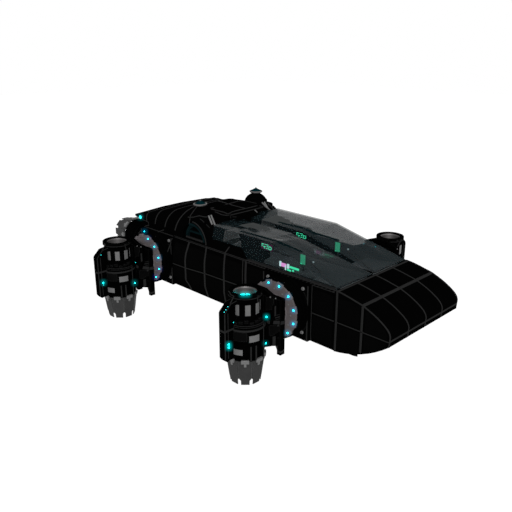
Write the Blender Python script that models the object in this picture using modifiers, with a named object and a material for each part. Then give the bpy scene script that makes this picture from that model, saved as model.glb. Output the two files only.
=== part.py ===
"""Hovercraft with four tilting thruster pods, two rear thrusters and two canopies.

Sizes are metres. Hull coordinates: X runs forward from the front edge of the
canopies, Y to port and Z up from the keel. The root empty moves them so that
the craft stands on Z = 0 with its box centred on the origin.
A pod is drawn about its pivot, for the starboard side. The port pods are the
same meshes turned half a turn, because a pod is alike fore and aft.
"""

import math

import bmesh
import bpy
from mathutils import Matrix, Vector

# Hull
HULL_HALF = 1.10
BELT_Z = 1.153
TAIL_X = -5.85
SIDE_TAIL = (-5.526, 0.90)
DECK_NOTCH_X = -5.41
NOSE_TOP = [(0.10, 1.142), (0.20, 1.125), (0.31, 1.103), (0.42, 1.077), (0.50, 1.060),
            (0.559, 1.045), (0.66, 1.005), (0.76, 0.962), (0.85, 0.917), (0.93, 0.870),
            (1.00, 0.823), (1.06, 0.775), (1.10, 0.725), (1.122, 0.670), (1.122, 0.640),
            (1.118, 0.590)]
NOSE_LIP_LOW = (1.111, 0.477)
NOSE_BREAK_LOW = (0.559, 0.147)
FLOOR_T = 0.08
SIDE_INNER_Y = 0.97
SILL_TOP_Z = 1.32
BULGE = 0.15
GAP = 0.0003

# Cabin and deck
CABIN_FRONT_X = -3.33
DECK_FRONT_X = -4.444
DECK_FRONT_Z = 1.708
ROOF_Z = 1.740
ROOF_CORNER_Y = 0.40
DECK_LEAN = 0.22
ROOF_HALF = 0.55
ARCH_X = -3.83
ARCH_Z = 1.166
ARCH_R = 0.43
DOME_CENTRE = (-3.87, 0.83, 1.60)
DOME_RADII = (0.30, 0.26, 0.29)
TAIL_LIGHT = (-5.683, 1.335)

# Cockpits
COCKPIT_Y = 0.55
SPINE_HALF = 0.06
CANOPY_REAR_X = -3.30
CANOPY_FRONT_Z = 1.174
CANOPY_TOP_Z = 1.60
CANOPY_INNER_Z = 1.55
CANOPY_KINK_X = -1.63
CANOPY_INNER_KINK_X = -1.90
CANOPY_FOOT = 0.515
CANOPY_SHOULDER = 0.41
CANOPY_T = 0.02

# Pods and pivots
POD_XS = {"front": -1.10, "rear": -5.035}
PIVOT_Z = 0.583
POD_Y = 2.20
PAD_FACE_Y = 1.188
RING_FACE_Y = 1.474
RING_R = 0.56
RING_HOLE_R = 0.27
HUB_R = 0.255
NOZZLE_TOP_Z = -0.03
NOZZLE_LENGTH = 0.49
NOZZLE_TOP_R = 0.334
NOZZLE_TIP_R = 0.268
PETALS = 8
BORE_R = 0.2352
NECK_R = 0.255
FLANGE_R = 0.2915
FLANGE_Z = (1.118, 1.162)
SLOT_ANGLE = 11.5
BLADE_Y = 2.74
BRACKET_HALF = 0.286
BRACKET_TOP_Z = 0.88
SADDLE_HALF = 0.40

# Rear thrusters
THRUSTER_Y = 0.924
THRUSTER_Z = 0.815
THRUSTER_ROOT_X = -6.18

KEEL_Z = NOZZLE_LENGTH - NOZZLE_TOP_Z + GAP
CRAFT_TAIL_X = THRUSTER_ROOT_X - 2 * GAP - NOZZLE_LENGTH
NOSE_TIP_X = max(x for x, z in NOSE_TOP)
ORIGIN_X = -(NOSE_TIP_X + CRAFT_TAIL_X) / 2
ROUND_STEPS = 40
SIDES = {"right": -1, "left": 1}


def clear_scene():
    for obj in list(bpy.data.objects):
        bpy.data.objects.remove(obj, do_unlink=True)


def collection(name):
    group = bpy.data.collections.new(name)
    bpy.context.scene.collection.children.link(group)
    return group


def material(name, colour, roughness, metallic=0.0, alpha=1.0):
    made = bpy.data.materials.new(name)
    made.use_nodes = True
    shader = made.node_tree.nodes["Principled BSDF"]
    shader.inputs["Base Color"].default_value = (*colour, 1.0)
    shader.inputs["Roughness"].default_value = roughness
    shader.inputs["Metallic"].default_value = metallic
    shader.inputs["Alpha"].default_value = alpha
    return made


def make_object(name, mesh, group):
    obj = bpy.data.objects.new(name, mesh)
    group.objects.link(obj)
    return obj


def mesh_from_bmesh(name, bm):
    bmesh.ops.recalc_face_normals(bm, faces=bm.faces)
    mesh = bpy.data.meshes.new(name)
    bm.to_mesh(mesh)
    bm.free()
    return mesh


def box(name, low, high, group):
    bm = bmesh.new()
    bmesh.ops.create_cube(bm, size=1.0)
    size = [high[i] - low[i] for i in range(3)]
    centre = [(high[i] + low[i]) / 2 for i in range(3)]
    bmesh.ops.scale(bm, vec=size, verts=bm.verts)
    bmesh.ops.translate(bm, vec=centre, verts=bm.verts)
    return make_object(name, mesh_from_bmesh(name, bm), group)


def cylinder(name, radius, start, end, group, steps=ROUND_STEPS, end_radius=None):
    """A straight round bar or cone from start to end."""
    axis = Vector(end) - Vector(start)
    bm = bmesh.new()
    bmesh.ops.create_cone(bm, cap_ends=True, segments=steps, radius1=radius,
                          radius2=radius if end_radius is None else end_radius,
                          depth=axis.length)
    turn = axis.to_track_quat("Z", "Y").to_matrix().to_4x4()
    middle = Matrix.Translation((Vector(start) + Vector(end)) / 2)
    bmesh.ops.transform(bm, matrix=middle @ turn, verts=bm.verts)
    return make_object(name, mesh_from_bmesh(name, bm), group)


def loft(name, loops, group):
    """A closed solid through loops that all have the same number of points."""
    bm = bmesh.new()
    rings = [[bm.verts.new(point) for point in loop] for loop in loops]
    count = len(rings[0])
    for near, far in zip(rings, rings[1:]):
        for i in range(count):
            j = (i + 1) % count
            bm.faces.new((near[i], near[j], far[j], far[i]))
    bm.faces.new(rings[0])
    bm.faces.new(rings[-1])
    return make_object(name, mesh_from_bmesh(name, bm), group)


def extruded(name, points, start, end, group, plane="XZ"):
    """A flat outline drawn in the XZ or YZ plane, as thick as start to end."""
    if plane == "XZ":
        loops = [[(a, depth, b) for a, b in points] for depth in (start, end)]
    else:
        loops = [[(depth, a, b) for a, b in points] for depth in (start, end)]
    return loft(name, loops, group)


def turned(name, profile, group, steps=ROUND_STEPS):
    """A profile of radius and height turned about Z with a Screw modifier."""
    mesh = bpy.data.meshes.new(name)
    points = [(radius, 0.0, height) for radius, height in profile]
    last = len(points) - 1
    closed = profile[0][0] > 0 or profile[-1][0] > 0
    edges = [(i, i + 1) for i in range(last)] + ([(last, 0)] if closed else [])
    mesh.from_pydata(points, edges, [])
    obj = make_object(name, mesh, group)
    screw = obj.modifiers.new("turn", "SCREW")
    screw.axis = "Z"
    screw.steps = steps
    screw.render_steps = steps
    screw.use_merge_vertices = True
    screw.merge_threshold = 0.0001
    return obj


def applied(obj):
    """The object with its modifiers applied and its place put into the mesh."""
    bpy.context.view_layer.update()
    evaluated = obj.evaluated_get(bpy.context.evaluated_depsgraph_get())
    mesh = bpy.data.meshes.new_from_object(evaluated)
    mesh.transform(obj.matrix_world)
    obj.modifiers.clear()
    obj.data = mesh
    obj.matrix_world = Matrix.Identity(4)
    return obj


def moved(obj, matrix):
    obj.data.transform(matrix)
    if matrix.determinant() < 0:
        obj.data.flip_normals()
    return obj


def combine(obj, others, operation):
    """Boolean with each of the others, which stay behind as hidden guides."""
    for other in others:
        other.hide_render = True
        other.display_type = "WIRE"
        step = obj.modifiers.new(operation.lower(), "BOOLEAN")
        step.operation = operation
        step.solver = "EXACT"
        step.object = other
    return applied(obj)


def joined(name, objects, group):
    """Objects that don't touch each other, as one mesh."""
    bm = bmesh.new()
    for obj in objects:
        bm.from_mesh(obj.data)
        bpy.data.objects.remove(obj, do_unlink=True)
    return make_object(name, mesh_from_bmesh(name, bm), group)


def arc_points(first, middle, last, count):
    """Points on the circle through three points of a plane, first to last."""
    (ax, ay), (bx, by), (cx, cy) = first, middle, last
    d = 2 * (ax * (by - cy) + bx * (cy - ay) + cx * (ay - by))
    a2, b2, c2 = ax * ax + ay * ay, bx * bx + by * by, cx * cx + cy * cy
    ux = (a2 * (by - cy) + b2 * (cy - ay) + c2 * (ay - by)) / d
    uy = (a2 * (cx - bx) + b2 * (ax - cx) + c2 * (bx - ax)) / d
    radius = math.hypot(ax - ux, ay - uy)
    begin = math.atan2(ay - uy, ax - ux)
    sweep = math.atan2(cy - uy, cx - ux) - begin
    sweep = (sweep + math.pi) % (2 * math.pi) - math.pi
    angles = [begin + sweep * i / count for i in range(count + 1)]
    return [(ux + radius * math.cos(a), uy + radius * math.sin(a)) for a in angles]


def half_disc(radius, centre_x, centre_z, base_z, steps=20):
    """An arch outline: a round top over a flat base."""
    dip = math.asin(max(-1.0, (base_z - centre_z) / radius))
    angles = [dip + (math.pi - 2 * dip) * i / steps for i in range(steps + 1)]
    return [(centre_x + radius * math.cos(a), centre_z + radius * math.sin(a))
            for a in angles]


# Hull

def build_hull_tub(parts, guides):
    outline = [
        (TAIL_X, 0.0), (-GAP, 0.0), (-GAP, 1.10), (-0.06, 1.10), (-0.06, FLOOR_T),
        (CABIN_FRONT_X, FLOOR_T), (CABIN_FRONT_X, BELT_Z),
        (CABIN_FRONT_X - 0.06, BELT_Z), (CABIN_FRONT_X - 0.06, FLOOR_T),
        (TAIL_X + 0.06, FLOOR_T), (TAIL_X + 0.06, BELT_Z), (TAIL_X, BELT_Z)]
    half = SIDE_INNER_Y - GAP
    return extruded("hull_tub", outline, -half, half, parts)


def build_nose(parts, guides):
    low = arc_points(NOSE_LIP_LOW, NOSE_BREAK_LOW, (GAP, 0.0), 8)
    outline = [(GAP, BELT_Z)] + NOSE_TOP + low
    return extruded("nose", outline, -HULL_HALF, HULL_HALF, parts)


def bulge_at(x):
    """How far the side swells: none at the pads, most behind the cockpits."""
    stations = [(0.0, 0.0), (-1.69, 0.0), (-2.42, 0.15), (-2.82, 0.30), (-3.39, 0.45),
                (-3.94, 0.95), (-4.37, 1.0), (-4.465, 0.0), (TAIL_X, 0.0)]
    for (x1, b1), (x0, b0) in zip(stations, stations[1:]):
        if x >= x0:
            return b0 + (b1 - b0) * (x - x0) / (x1 - x0)
    return 0.0


def side_loop(x, sill):
    """Section of a hull side. Behind the belt's end its top slopes down."""
    swell = BULGE * bulge_at(x)
    outer_y = HULL_HALF - 0.08 * sill
    top_z = BELT_Z + (SILL_TOP_Z - BELT_Z) * sill
    low = SIDE_TAIL[1] / BELT_Z if x < SIDE_TAIL[0] else 1.0
    loop = [(SIDE_INNER_Y, 0.0), (1.08, 0.0), (HULL_HALF + 0.25 * swell, 0.125),
            (HULL_HALF + swell, 0.30), (HULL_HALF + swell, 0.75),
            (HULL_HALF + 0.8 * swell, 0.89), (HULL_HALF, BELT_Z - 0.01),
            (outer_y, top_z), (SIDE_INNER_Y, top_z)]
    return [(y, z * low) for y, z in loop]


def build_hull_side(side, parts, guides):
    sign = SIDES[side]
    stations = [(-GAP, 0), (-1.69, 0), (-2.20, 0), (-2.42, 1), (-2.82, 1), (-3.32, 1),
                (-3.325, 0), (-3.60, 0), (-3.94, 0), (-4.20, 0), (-4.37, 0), (-4.43, 0),
                (-4.465, 0), (SIDE_TAIL[0], 0), (TAIL_X, 0)]
    loops = [[(x, sign * y, z) for y, z in side_loop(x, sill)] for x, sill in stations]
    return loft(f"hull_side_{side}", loops, parts)


def build_mount_pad(end, side, parts, guides):
    sign = SIDES[side]
    centre = POD_XS[end]
    outline = [(centre - 0.563, 0.02), (centre + 0.563, 0.02),
               (centre + 0.563, 1.12), (centre - 0.563, 1.12)]
    return extruded(f"mount_pad_{end}_{side}", outline, sign * (HULL_HALF + GAP),
                    sign * PAD_FACE_Y, parts)


def shoulder_points(base, corner, power, count=9):
    """The port shoulder of a roof section, from its base up to its corner."""
    corner_y, corner_z = corner
    points = []
    for i in range(count + 1):
        angle = math.pi / 2 * i / count
        y = corner_y + (HULL_HALF - corner_y) * math.cos(angle) ** (2 / power)
        z = base + (corner_z - base) * math.sin(angle) ** (2 / power)
        points.append((y, z))
    return points


def both_halves(x, points, lean=0.0):
    """A whole section from its port half. A leaning one slopes back as it rises."""
    section = points + [(-y, z) for y, z in reversed(points)]
    return [(x - lean * (z - BELT_Z), y, z) for y, z in section]


def shoulder_loop(x, roof_z, power):
    return both_halves(x, shoulder_points(BELT_Z + GAP, (ROOF_CORNER_Y, roof_z), power))


def deck_loop(x, lean, belly_z, lip_z, corner, crown_z, power):
    """Deck section whose outer edge may end above its belly, as it does at the tail."""
    inner = SIDE_INNER_Y - GAP
    foot = [(inner, belly_z), ((inner + HULL_HALF) / 2, lip_z)]
    crown = [(0.3 * corner[0], crown_z)]
    return both_halves(x, foot + shoulder_points(lip_z, corner, power) + crown, lean)


def build_rear_deck(parts, guides):
    """Its ribs stand square to the sloping roof, so its sections lean back."""
    base = BELT_Z + GAP
    stations = [(-5.93, 0.0, 1.325, 1.343, (1.02, 1.362), 1.395, 3.0),
                (TAIL_X, 0.02, base, 1.312, (1.00, 1.378), 1.410, 3.0),
                (-5.60, 0.12, base, 1.286, (0.95, 1.428), 1.450, 3.0),
                (DECK_NOTCH_X - 0.02, DECK_LEAN, base, 1.267, (0.90, 1.470), 1.490, 3.0),
                (DECK_NOTCH_X, DECK_LEAN, base, base, (0.90, 1.474), 1.494, 2.9),
                (-5.148, DECK_LEAN, base, base, (0.79, 1.530), 1.552, 1.95),
                (-4.796, DECK_LEAN, base, base, (0.61, 1.585), 1.600, 1.85),
                (DECK_FRONT_X - GAP, 0.0, base, base, (ROOF_CORNER_Y, DECK_FRONT_Z), DECK_FRONT_Z, 2.0)]
    return loft("rear_deck", [deck_loop(*station) for station in stations], parts)


def build_aft_cabin(parts, guides):
    stations = [(DECK_FRONT_X, DECK_FRONT_Z, 2.0), (-4.10, ROOF_Z, 2.0), (-3.62, ROOF_Z, 2.0),
                (CABIN_FRONT_X, ROOF_Z, 1.45)]
    cabin = loft("aft_cabin", [shoulder_loop(*s) for s in stations], parts)
    base = BELT_Z + GAP
    added = []
    cut = []
    for sign in SIDES.values():
        arch = half_disc(ARCH_R, ARCH_X, ARCH_Z, base)
        added.append(extruded("arch_tunnel", arch, sign * 0.50, sign * 1.098, guides))
        bm = bmesh.new()
        bmesh.ops.create_uvsphere(bm, u_segments=24, v_segments=12, radius=1.0)
        bmesh.ops.scale(bm, vec=DOME_RADII, verts=bm.verts)
        x, y, z = DOME_CENTRE
        bmesh.ops.translate(bm, vec=(x, sign * y, z), verts=bm.verts)
        added.append(make_object("dome", mesh_from_bmesh("dome", bm), guides))
        recess = half_disc(ARCH_R - 0.07, ARCH_X, ARCH_Z, base + 0.03)
        cut.append(extruded("arch_recess", recess, sign * 0.94, sign * 1.2, guides))
    combine(cabin, added, "UNION")
    return combine(cabin, cut, "DIFFERENCE")


def build_side_port(side, parts, guides):
    sign = SIDES[side]
    base = BELT_Z + 0.03 + 2 * GAP
    outer = half_disc(ARCH_R - 0.07 - GAP, ARCH_X, ARCH_Z, base)
    inner = half_disc(ARCH_R - 0.14, ARCH_X, ARCH_Z, base)
    outline = outer + list(reversed(inner))
    band = extruded(f"side_port_{side}", outline, sign * (0.94 + GAP), sign * 1.00, parts)
    bar = box("port_bar", (ARCH_X - 0.30, min(sign * 0.95, sign * 0.98), 1.30),
              (ARCH_X + 0.30, max(sign * 0.95, sign * 0.98), 1.34), guides)
    return combine(band, [bar], "UNION")


def build_roof_panel(parts, guides):
    return box("roof_panel", (-3.92, -ROOF_HALF + 0.15, ROOF_Z + GAP),
               (CABIN_FRONT_X, ROOF_HALF - 0.15, ROOF_Z + 0.018), parts)


def build_beacon(side, parts, guides):
    x, y, z = DOME_CENTRE
    base_z = z + DOME_RADII[2] + GAP
    profile = [(0.0, 0.116), (0.142, 0.035), (0.142, 0.025), (0.10, 0.0), (0.0, 0.0)]
    lamp = turned(f"beacon_{side}", profile, parts, 24)
    lamp.location = (x, SIDES[side] * y, base_z)
    return lamp


def build_tail_light(side, parts, guides):
    start, end = [SIDES[side] * (HULL_HALF + depth) for depth in (GAP, 0.03)]
    x, z = TAIL_LIGHT
    return cylinder(f"tail_light_{side}", 0.035, (x, start, z), (x, end, z), parts, 20)


def build_power_unit(parts, guides):
    return box("power_unit", (-5.30, -0.55, FLOOR_T + GAP), (-3.70, 0.55, 0.95), parts)


# Cockpits

def build_spine(parts, guides):
    low = FLOOR_T + GAP
    ridge = 0.028
    outline = [(-SPINE_HALF, low), (SPINE_HALF, low), (SPINE_HALF, BELT_Z),
               (ridge, BELT_Z), (ridge, BELT_Z + 0.032), (-ridge, BELT_Z + 0.032),
               (-ridge, BELT_Z), (-SPINE_HALF, BELT_Z)]
    return extruded("spine", outline, CABIN_FRONT_X + GAP, -0.06 - GAP, parts, "YZ")


def build_console(side, parts, guides):
    """Inner cockpit wall with a ledge of controls, one piece with the dash."""
    sign = SIDES[side]
    near = SPINE_HALF + GAP
    wall = [(near, 0.70), (near, 1.14), (0.10, 1.14), (0.12, 0.90), (0.30, 0.86), (0.30, 0.70)]
    ledge = extruded(f"console_{side}", [(sign * y, z) for y, z in wall], -2.50, -0.10,
                     parts, "YZ")
    dash = [(-0.06 - GAP, 0.70), (-0.06 - GAP, 1.09), (-0.85, 1.02), (-0.95, 0.95), (-0.90, 0.70)]
    panel = extruded("dash_block", dash, sign * (near + 0.01),
                     sign * (SIDE_INNER_Y - GAP), guides)
    return combine(ledge, [panel], "UNION")


def build_seat(side, parts, guides):
    centre = SIDES[side] * COCKPIT_Y
    low = FLOOR_T + GAP
    profile = [(-3.02, low), (-2.70, low), (-2.66, 0.32), (-2.55, 0.36), (-2.55, 0.46),
               (-3.08, 0.42), (-3.16, 1.20), (-3.27, 1.20), (-3.25, 0.34), (-3.02, 0.30)]
    seat = extruded(f"seat_{side}", profile, centre - 0.25, centre + 0.25, parts)
    loops = []
    for z, half, front in ((1.10, 0.27, -3.14), (1.21, 0.285, -3.15), (1.48, 0.185, -3.18)):
        loops.append([(-3.28, centre - half, z), (front, centre - half, z),
                      (front, centre + half, z), (-3.28, centre + half, z)])
    rest = loft("headrest", loops, guides)
    return combine(seat, [rest], "UNION")


def canopy_section(x):
    """Heights of a canopy's outer and inner ridge at x, and how far out each one is."""
    outward = min(1.0, x / CANOPY_KINK_X)
    inward = min(1.0, x / CANOPY_INNER_KINK_X)
    outer = CANOPY_FRONT_Z + (CANOPY_TOP_Z - CANOPY_FRONT_Z) * outward
    inner = CANOPY_FRONT_Z + (CANOPY_INNER_Z - CANOPY_FRONT_Z) * inward
    width = CANOPY_FOOT - (CANOPY_FOOT - CANOPY_SHOULDER) * outward
    width_in = CANOPY_FOOT - (CANOPY_FOOT - CANOPY_SHOULDER - 0.02) * outward
    return outer, inner, width, width_in


def canopy_loop(x, sign):
    high, low, width, width_in = canopy_section(x)
    rise = min(1.0, max(0.0, (-2.20 - x) / 0.22))
    foot_out = CANOPY_FOOT - 0.065 * rise
    foot_z = BELT_Z + GAP + (SILL_TOP_Z - BELT_Z) * rise
    crown = [(width, high), (0.5 * width, high), (0.0, 0.35 * low + 0.65 * high),
             (-0.55 * width, 0.65 * low + 0.35 * high), (-width_in, low)]
    t = CANOPY_T
    lowest = BELT_Z + 2 * GAP
    under = [(v - math.copysign(t, v) if abs(v) >= width else v, max(z - t, lowest))
             for v, z in crown]
    under[0] = (under[0][0], max(under[0][1], foot_z + GAP))
    outer = [(foot_out, foot_z)] + crown + [(-CANOPY_FOOT, BELT_Z + GAP)]
    inner = [(foot_out - t, foot_z)] + under + [(t - CANOPY_FOOT, BELT_Z + GAP)]
    ring = outer + list(reversed(inner))
    return [(x, sign * (COCKPIT_Y + v), z) for v, z in ring]


def build_canopy(side, parts, guides):
    sign = SIDES[side]
    stations = (CANOPY_REAR_X, -2.82, -2.42, -2.20, CANOPY_INNER_KINK_X, CANOPY_KINK_X, -1.40,
                -0.95, -0.50, -0.20, -0.012)
    canopy = loft(f"canopy_{side}", [canopy_loop(x, sign) for x in stations], parts)
    bar_y = sign * COCKPIT_Y
    bar = cylinder("hinge_bar", 0.016, (CANOPY_REAR_X, bar_y - 0.20, CANOPY_TOP_Z),
                   (CANOPY_REAR_X, bar_y + 0.20, CANOPY_TOP_Z), guides, 12)
    return combine(canopy, [bar], "UNION")


# Thrusters

def nozzle_mesh(group, guides):
    """Eight flat petals on a short sleeve, hanging down from Z = 0."""
    corner = 1 / math.cos(math.pi / PETALS)
    low_t = 0.74
    low_r = NOZZLE_TOP_R + (NOZZLE_TIP_R - NOZZLE_TOP_R) * low_t
    sleeve_gap = 0.014
    wall = 0.012
    radii = [(NOZZLE_TOP_R - sleeve_gap, 0.0), (low_r - sleeve_gap, -low_t * NOZZLE_LENGTH)]
    loops = []
    for inset in (0.0, wall):
        ring = []
        for radius, z in radii:
            ring.append([((radius - inset) * corner * math.cos(a), (radius - inset) * corner * math.sin(a), z)
                         for a in [math.pi / PETALS * (2 * k + 1) for k in range(PETALS)]])
        loops.append(ring)
    bm = bmesh.new()
    rings = [[bm.verts.new(p) for p in loop]
             for loop in (loops[0][0], loops[0][1], loops[1][1], loops[1][0])]
    for i in range(4):
        one, two = rings[i], rings[(i + 1) % 4]
        for k in range(PETALS):
            m = (k + 1) % PETALS
            bm.faces.new((one[k], one[m], two[m], two[k]))
    nozzle = make_object("nozzle", mesh_from_bmesh("nozzle", bm), group)
    petals = []
    outline = [(-0.121, 0.0), (0.121, 0.0), (0.108, -0.36), (0.078, -0.40), (0.074, -NOZZLE_LENGTH),
               (-0.074, -NOZZLE_LENGTH), (-0.078, -0.40), (-0.108, -0.36)]
    slope = (NOZZLE_TOP_R - NOZZLE_TIP_R) / NOZZLE_LENGTH
    for k in range(PETALS):
        turn = Matrix.Rotation(2 * math.pi * k / PETALS, 4, "Z")
        loops = []
        for depth in (-0.018, 0.0):
            loops.append([turn @ Vector((NOZZLE_TOP_R + slope * z + depth, y, z)) for y, z in outline])
        petals.append(loft("petal", loops, guides))
    return combine(nozzle, [joined("petals", petals, guides)], "UNION")


def barrel(name, group):
    low, high = FLANGE_Z
    profile = [(0.0, 0.60), (BORE_R, 0.60), (BORE_R, high), (FLANGE_R, high), (FLANGE_R, low),
               (NECK_R, low - 0.07), (NECK_R, 0.78), (0.31, 0.70), (0.34, 0.62), (0.345, 0.45),
               (0.345, 0.10), (0.325, NOZZLE_TOP_Z), (0.0, NOZZLE_TOP_Z)]
    return turned(name, profile, group)


def pod_body_mesh(group, guides):
    """Barrel, pylon, hub and blade of a starboard pod, about its pivot."""
    body = applied(barrel("pod_body", group))
    moved(body, Matrix.Translation((0, -POD_Y, 0)))
    half, top = BRACKET_HALF, BRACKET_TOP_Z
    plate = [(0.20, -0.21), (half, -0.21), (half, top), (-half, top), (-half, -0.21),
             (-0.20, -0.21), (-0.20, -0.02), (0.20, -0.02)]
    added = [extruded("bracket", plate, -1.49, -1.60, guides)]
    half = SADDLE_HALF
    saddle = [(half, 0.70), (half, 1.06), (0.16, 1.15), (-0.16, 1.15), (-half, 1.06), (-half, 0.70),
              (-0.20, 0.40), (0.20, 0.40)]
    added.append(extruded("saddle", saddle, -1.84, -1.90, guides))
    sections = [(-1.59, 0.26, -0.02, 0.86), (-1.75, 0.23, 0.02, 0.96), (-1.96, 0.20, 0.06, 1.06)]
    loops = [[(-half, y, low), (half, y, low), (half, y, high), (-half, y, high)]
             for y, half, low, high in sections]
    added.append(loft("web", loops, guides))
    added.append(cylinder("hub", HUB_R, (0, -PAD_FACE_Y - GAP, PIVOT_Z), (0, -1.50, PIVOT_Z), guides, 40))
    blade = [(-2.44, 0.03), (-2.70, 0.0), (-BLADE_Y, 0.05), (-BLADE_Y, 0.924), (-2.60, 1.05),
             (-2.45, 1.07), (-2.44, 1.06)]
    added.append(extruded("blade", blade, -0.065, 0.065, guides, "YZ"))
    combine(body, added, "UNION")
    slots = []
    for k in range(PETALS):
        slot = box("slot", (0.22, -0.04, 0.79), (0.30, 0.04, 0.99), guides)
        turn = Matrix.Rotation(math.radians(SLOT_ANGLE + 45 * k), 4, "Z")
        slots.append(moved(slot, Matrix.Translation((0, -POD_Y, 0)) @ turn))
    combine(body, [joined("slots", slots, guides)], "DIFFERENCE")
    moved(body, Matrix.Translation((0, 0, -PIVOT_Z)))
    return body


def duct_mesh(group):
    outer = BORE_R - 0.0006
    low = 0.60 + GAP
    profile = [(outer, FLANGE_Z[1] - 0.004), (outer, low), (0.205, low), (0.205, 0.80), (0.212, 1.12)]
    duct = applied(turned("duct", profile, group))
    return moved(duct, Matrix.Translation((0, -POD_Y, -PIVOT_Z)))


def ring_mesh(group, guides):
    """Fixed ring around a pivot, with twelve raised blocks on its rim."""
    low, high = -RING_FACE_Y, -PAD_FACE_Y - GAP
    profile = [(RING_R - 0.03, high), (RING_R - 0.03, low), (RING_HOLE_R, low), (RING_HOLE_R, high)]
    ring = turned("ring", profile, group, 48)
    applied(ring)
    moved(ring, Matrix.Rotation(math.radians(90), 4, "X"))
    moved(ring, Matrix.Scale(-1, 4, Vector((0, 1, 0))))
    blocks = []
    for k in range(12):
        angle = math.radians(15 + 30 * k)
        block = box("block", (RING_R - 0.06, low + 0.03, -0.09), (RING_R, high - 0.04, 0.09), guides)
        blocks.append(moved(block, Matrix.Rotation(-angle, 4, "Y")))
    return combine(ring, [joined("blocks", blocks, guides)], "UNION")


def build_thruster_housing(side, parts, guides):
    y = SIDES[side] * THRUSTER_Y
    root = TAIL_X - THRUSTER_ROOT_X
    profile = [(0.0, 0.0), (0.28, 0.0), (0.30, -0.06), (0.30, -root + 0.22), (0.345, -root + 0.16),
               (0.345, -root + 0.05), (0.325, -root), (0.0, -root)]
    housing = applied(turned(f"thruster_{side}", profile, parts))
    moved(housing, Matrix.Rotation(math.radians(90), 4, "Y"))
    return moved(housing, Matrix.Translation((TAIL_X - GAP, y, THRUSTER_Z)))


def dress(obj, finish, parent, place=(0, 0, 0), turn=0.0):
    if not obj.data.materials:
        obj.data.materials.append(finish)
    obj.data.shade_smooth()
    obj.data.set_sharp_from_angle(angle=math.radians(32))
    obj.parent = parent
    obj.location = Vector(obj.location) + Vector(place)
    obj.rotation_euler.z = turn
    return obj


def empty(name, group, place, parent=None):
    marker = bpy.data.objects.new(name, None)
    group.objects.link(marker)
    marker.location = place
    marker.parent = parent
    return marker


def main():
    clear_scene()
    parts = collection("hovercraft")
    guides = collection("guides")
    hull_black = material("hull black", (0.012, 0.012, 0.013), 0.45)
    pod_black = material("pod black", (0.015, 0.015, 0.016), 0.4)
    ring_grey = material("ring grey", (0.42, 0.40, 0.40), 0.45)
    duct_grey = material("duct grey", (0.5, 0.5, 0.5), 0.4)
    nozzle_grey = material("nozzle grey", (0.2, 0.2, 0.2), 0.45, 0.6)
    glass = material("tinted glass", (0.05, 0.07, 0.08), 0.05, 0.0, 0.4)
    seat_grey = material("seat grey", (0.08, 0.09, 0.1), 0.8)
    console_grey = material("console grey", (0.06, 0.06, 0.065), 0.6)
    teal = material("teal panel", (0.05, 0.1, 0.12), 0.3)
    lamp_teal = material("beacon teal", (0.1, 0.3, 0.35), 0.3)
    lamp_cyan = material("tail light cyan", (0.0, 0.8, 0.9), 0.3)
    block_grey = material("machinery grey", (0.1, 0.1, 0.1), 0.7)

    root = empty("hull_frame", parts, (ORIGIN_X, 0, KEEL_Z))
    for build, finish in ((build_hull_tub, hull_black), (build_nose, hull_black),
                          (build_rear_deck, hull_black), (build_aft_cabin, hull_black),
                          (build_roof_panel, hull_black), (build_power_unit, block_grey),
                          (build_spine, hull_black)):
        dress(build(parts, guides), finish, root)
    for side in SIDES:
        for build, finish in ((build_hull_side, hull_black), (build_side_port, teal),
                              (build_beacon, lamp_teal), (build_tail_light, lamp_cyan),
                              (build_console, console_grey), (build_seat, seat_grey),
                              (build_thruster_housing, pod_black)):
            dress(build(side, parts, guides), finish, root)
        hinge = empty(f"canopy_hinge_{side}", parts, (CANOPY_REAR_X, 0, CANOPY_TOP_Z), root)
        canopy = build_canopy(side, parts, guides)
        moved(canopy, Matrix.Translation((-CANOPY_REAR_X, 0, -CANOPY_TOP_Z)))
        dress(canopy, glass, hinge)

    body = pod_body_mesh(guides, guides)
    duct = duct_mesh(guides)
    nozzle = nozzle_mesh(guides, guides)
    ring = ring_mesh(guides, guides)
    for end in POD_XS:
        for side, sign in SIDES.items():
            dress(build_mount_pad(end, side, parts, guides), hull_black, root)
            pivot = empty(f"pivot_{end}_{side}", parts, (POD_XS[end], 0, PIVOT_Z), root)
            turn = 0.0 if sign < 0 else math.pi
            tag = f"{end}_{side}"
            dress(make_object(f"pivot_ring_{tag}", ring.data, parts), ring_grey, root,
                  pivot.location, turn)
            dress(make_object(f"pod_{tag}_body", body.data, parts), pod_black, pivot, turn=turn)
            dress(make_object(f"pod_{tag}_duct", duct.data, parts), duct_grey, pivot, turn=turn)
            spot = (0, sign * POD_Y, NOZZLE_TOP_Z - PIVOT_Z - GAP)
            dress(make_object(f"pod_{tag}_nozzle", nozzle.data, parts), nozzle_grey, pivot, spot, turn)
    for side, sign in SIDES.items():
        rear = make_object(f"thruster_nozzle_{side}", nozzle.data, parts)
        dress(rear, nozzle_grey, root, (THRUSTER_ROOT_X - 2 * GAP, sign * THRUSTER_Y, THRUSTER_Z))
        rear.rotation_euler = (0, math.radians(90), 0)
    for mould in (body, duct, nozzle, ring):
        bpy.data.objects.remove(mould, do_unlink=True)


main()
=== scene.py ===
"""Looks of a two-seat hovercraft with four tilting thruster pods, built around its CAD frame.

Sizes are metres. Hull coordinates: X runs forward from the front edge of the canopies, Y to port and
Z up from the keel. Pod coordinates are the same for the starboard side, with X from the pod's pivot.
A port pod is the starboard one turned half a turn.
"""

from math import cos, exp, radians, sin, tau

import bmesh
import bpy
from bpy.props import FloatProperty, FloatVectorProperty, IntProperty, PointerProperty
from mathutils import Matrix, Vector
from mathutils.bvhtree import BVHTree


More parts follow.
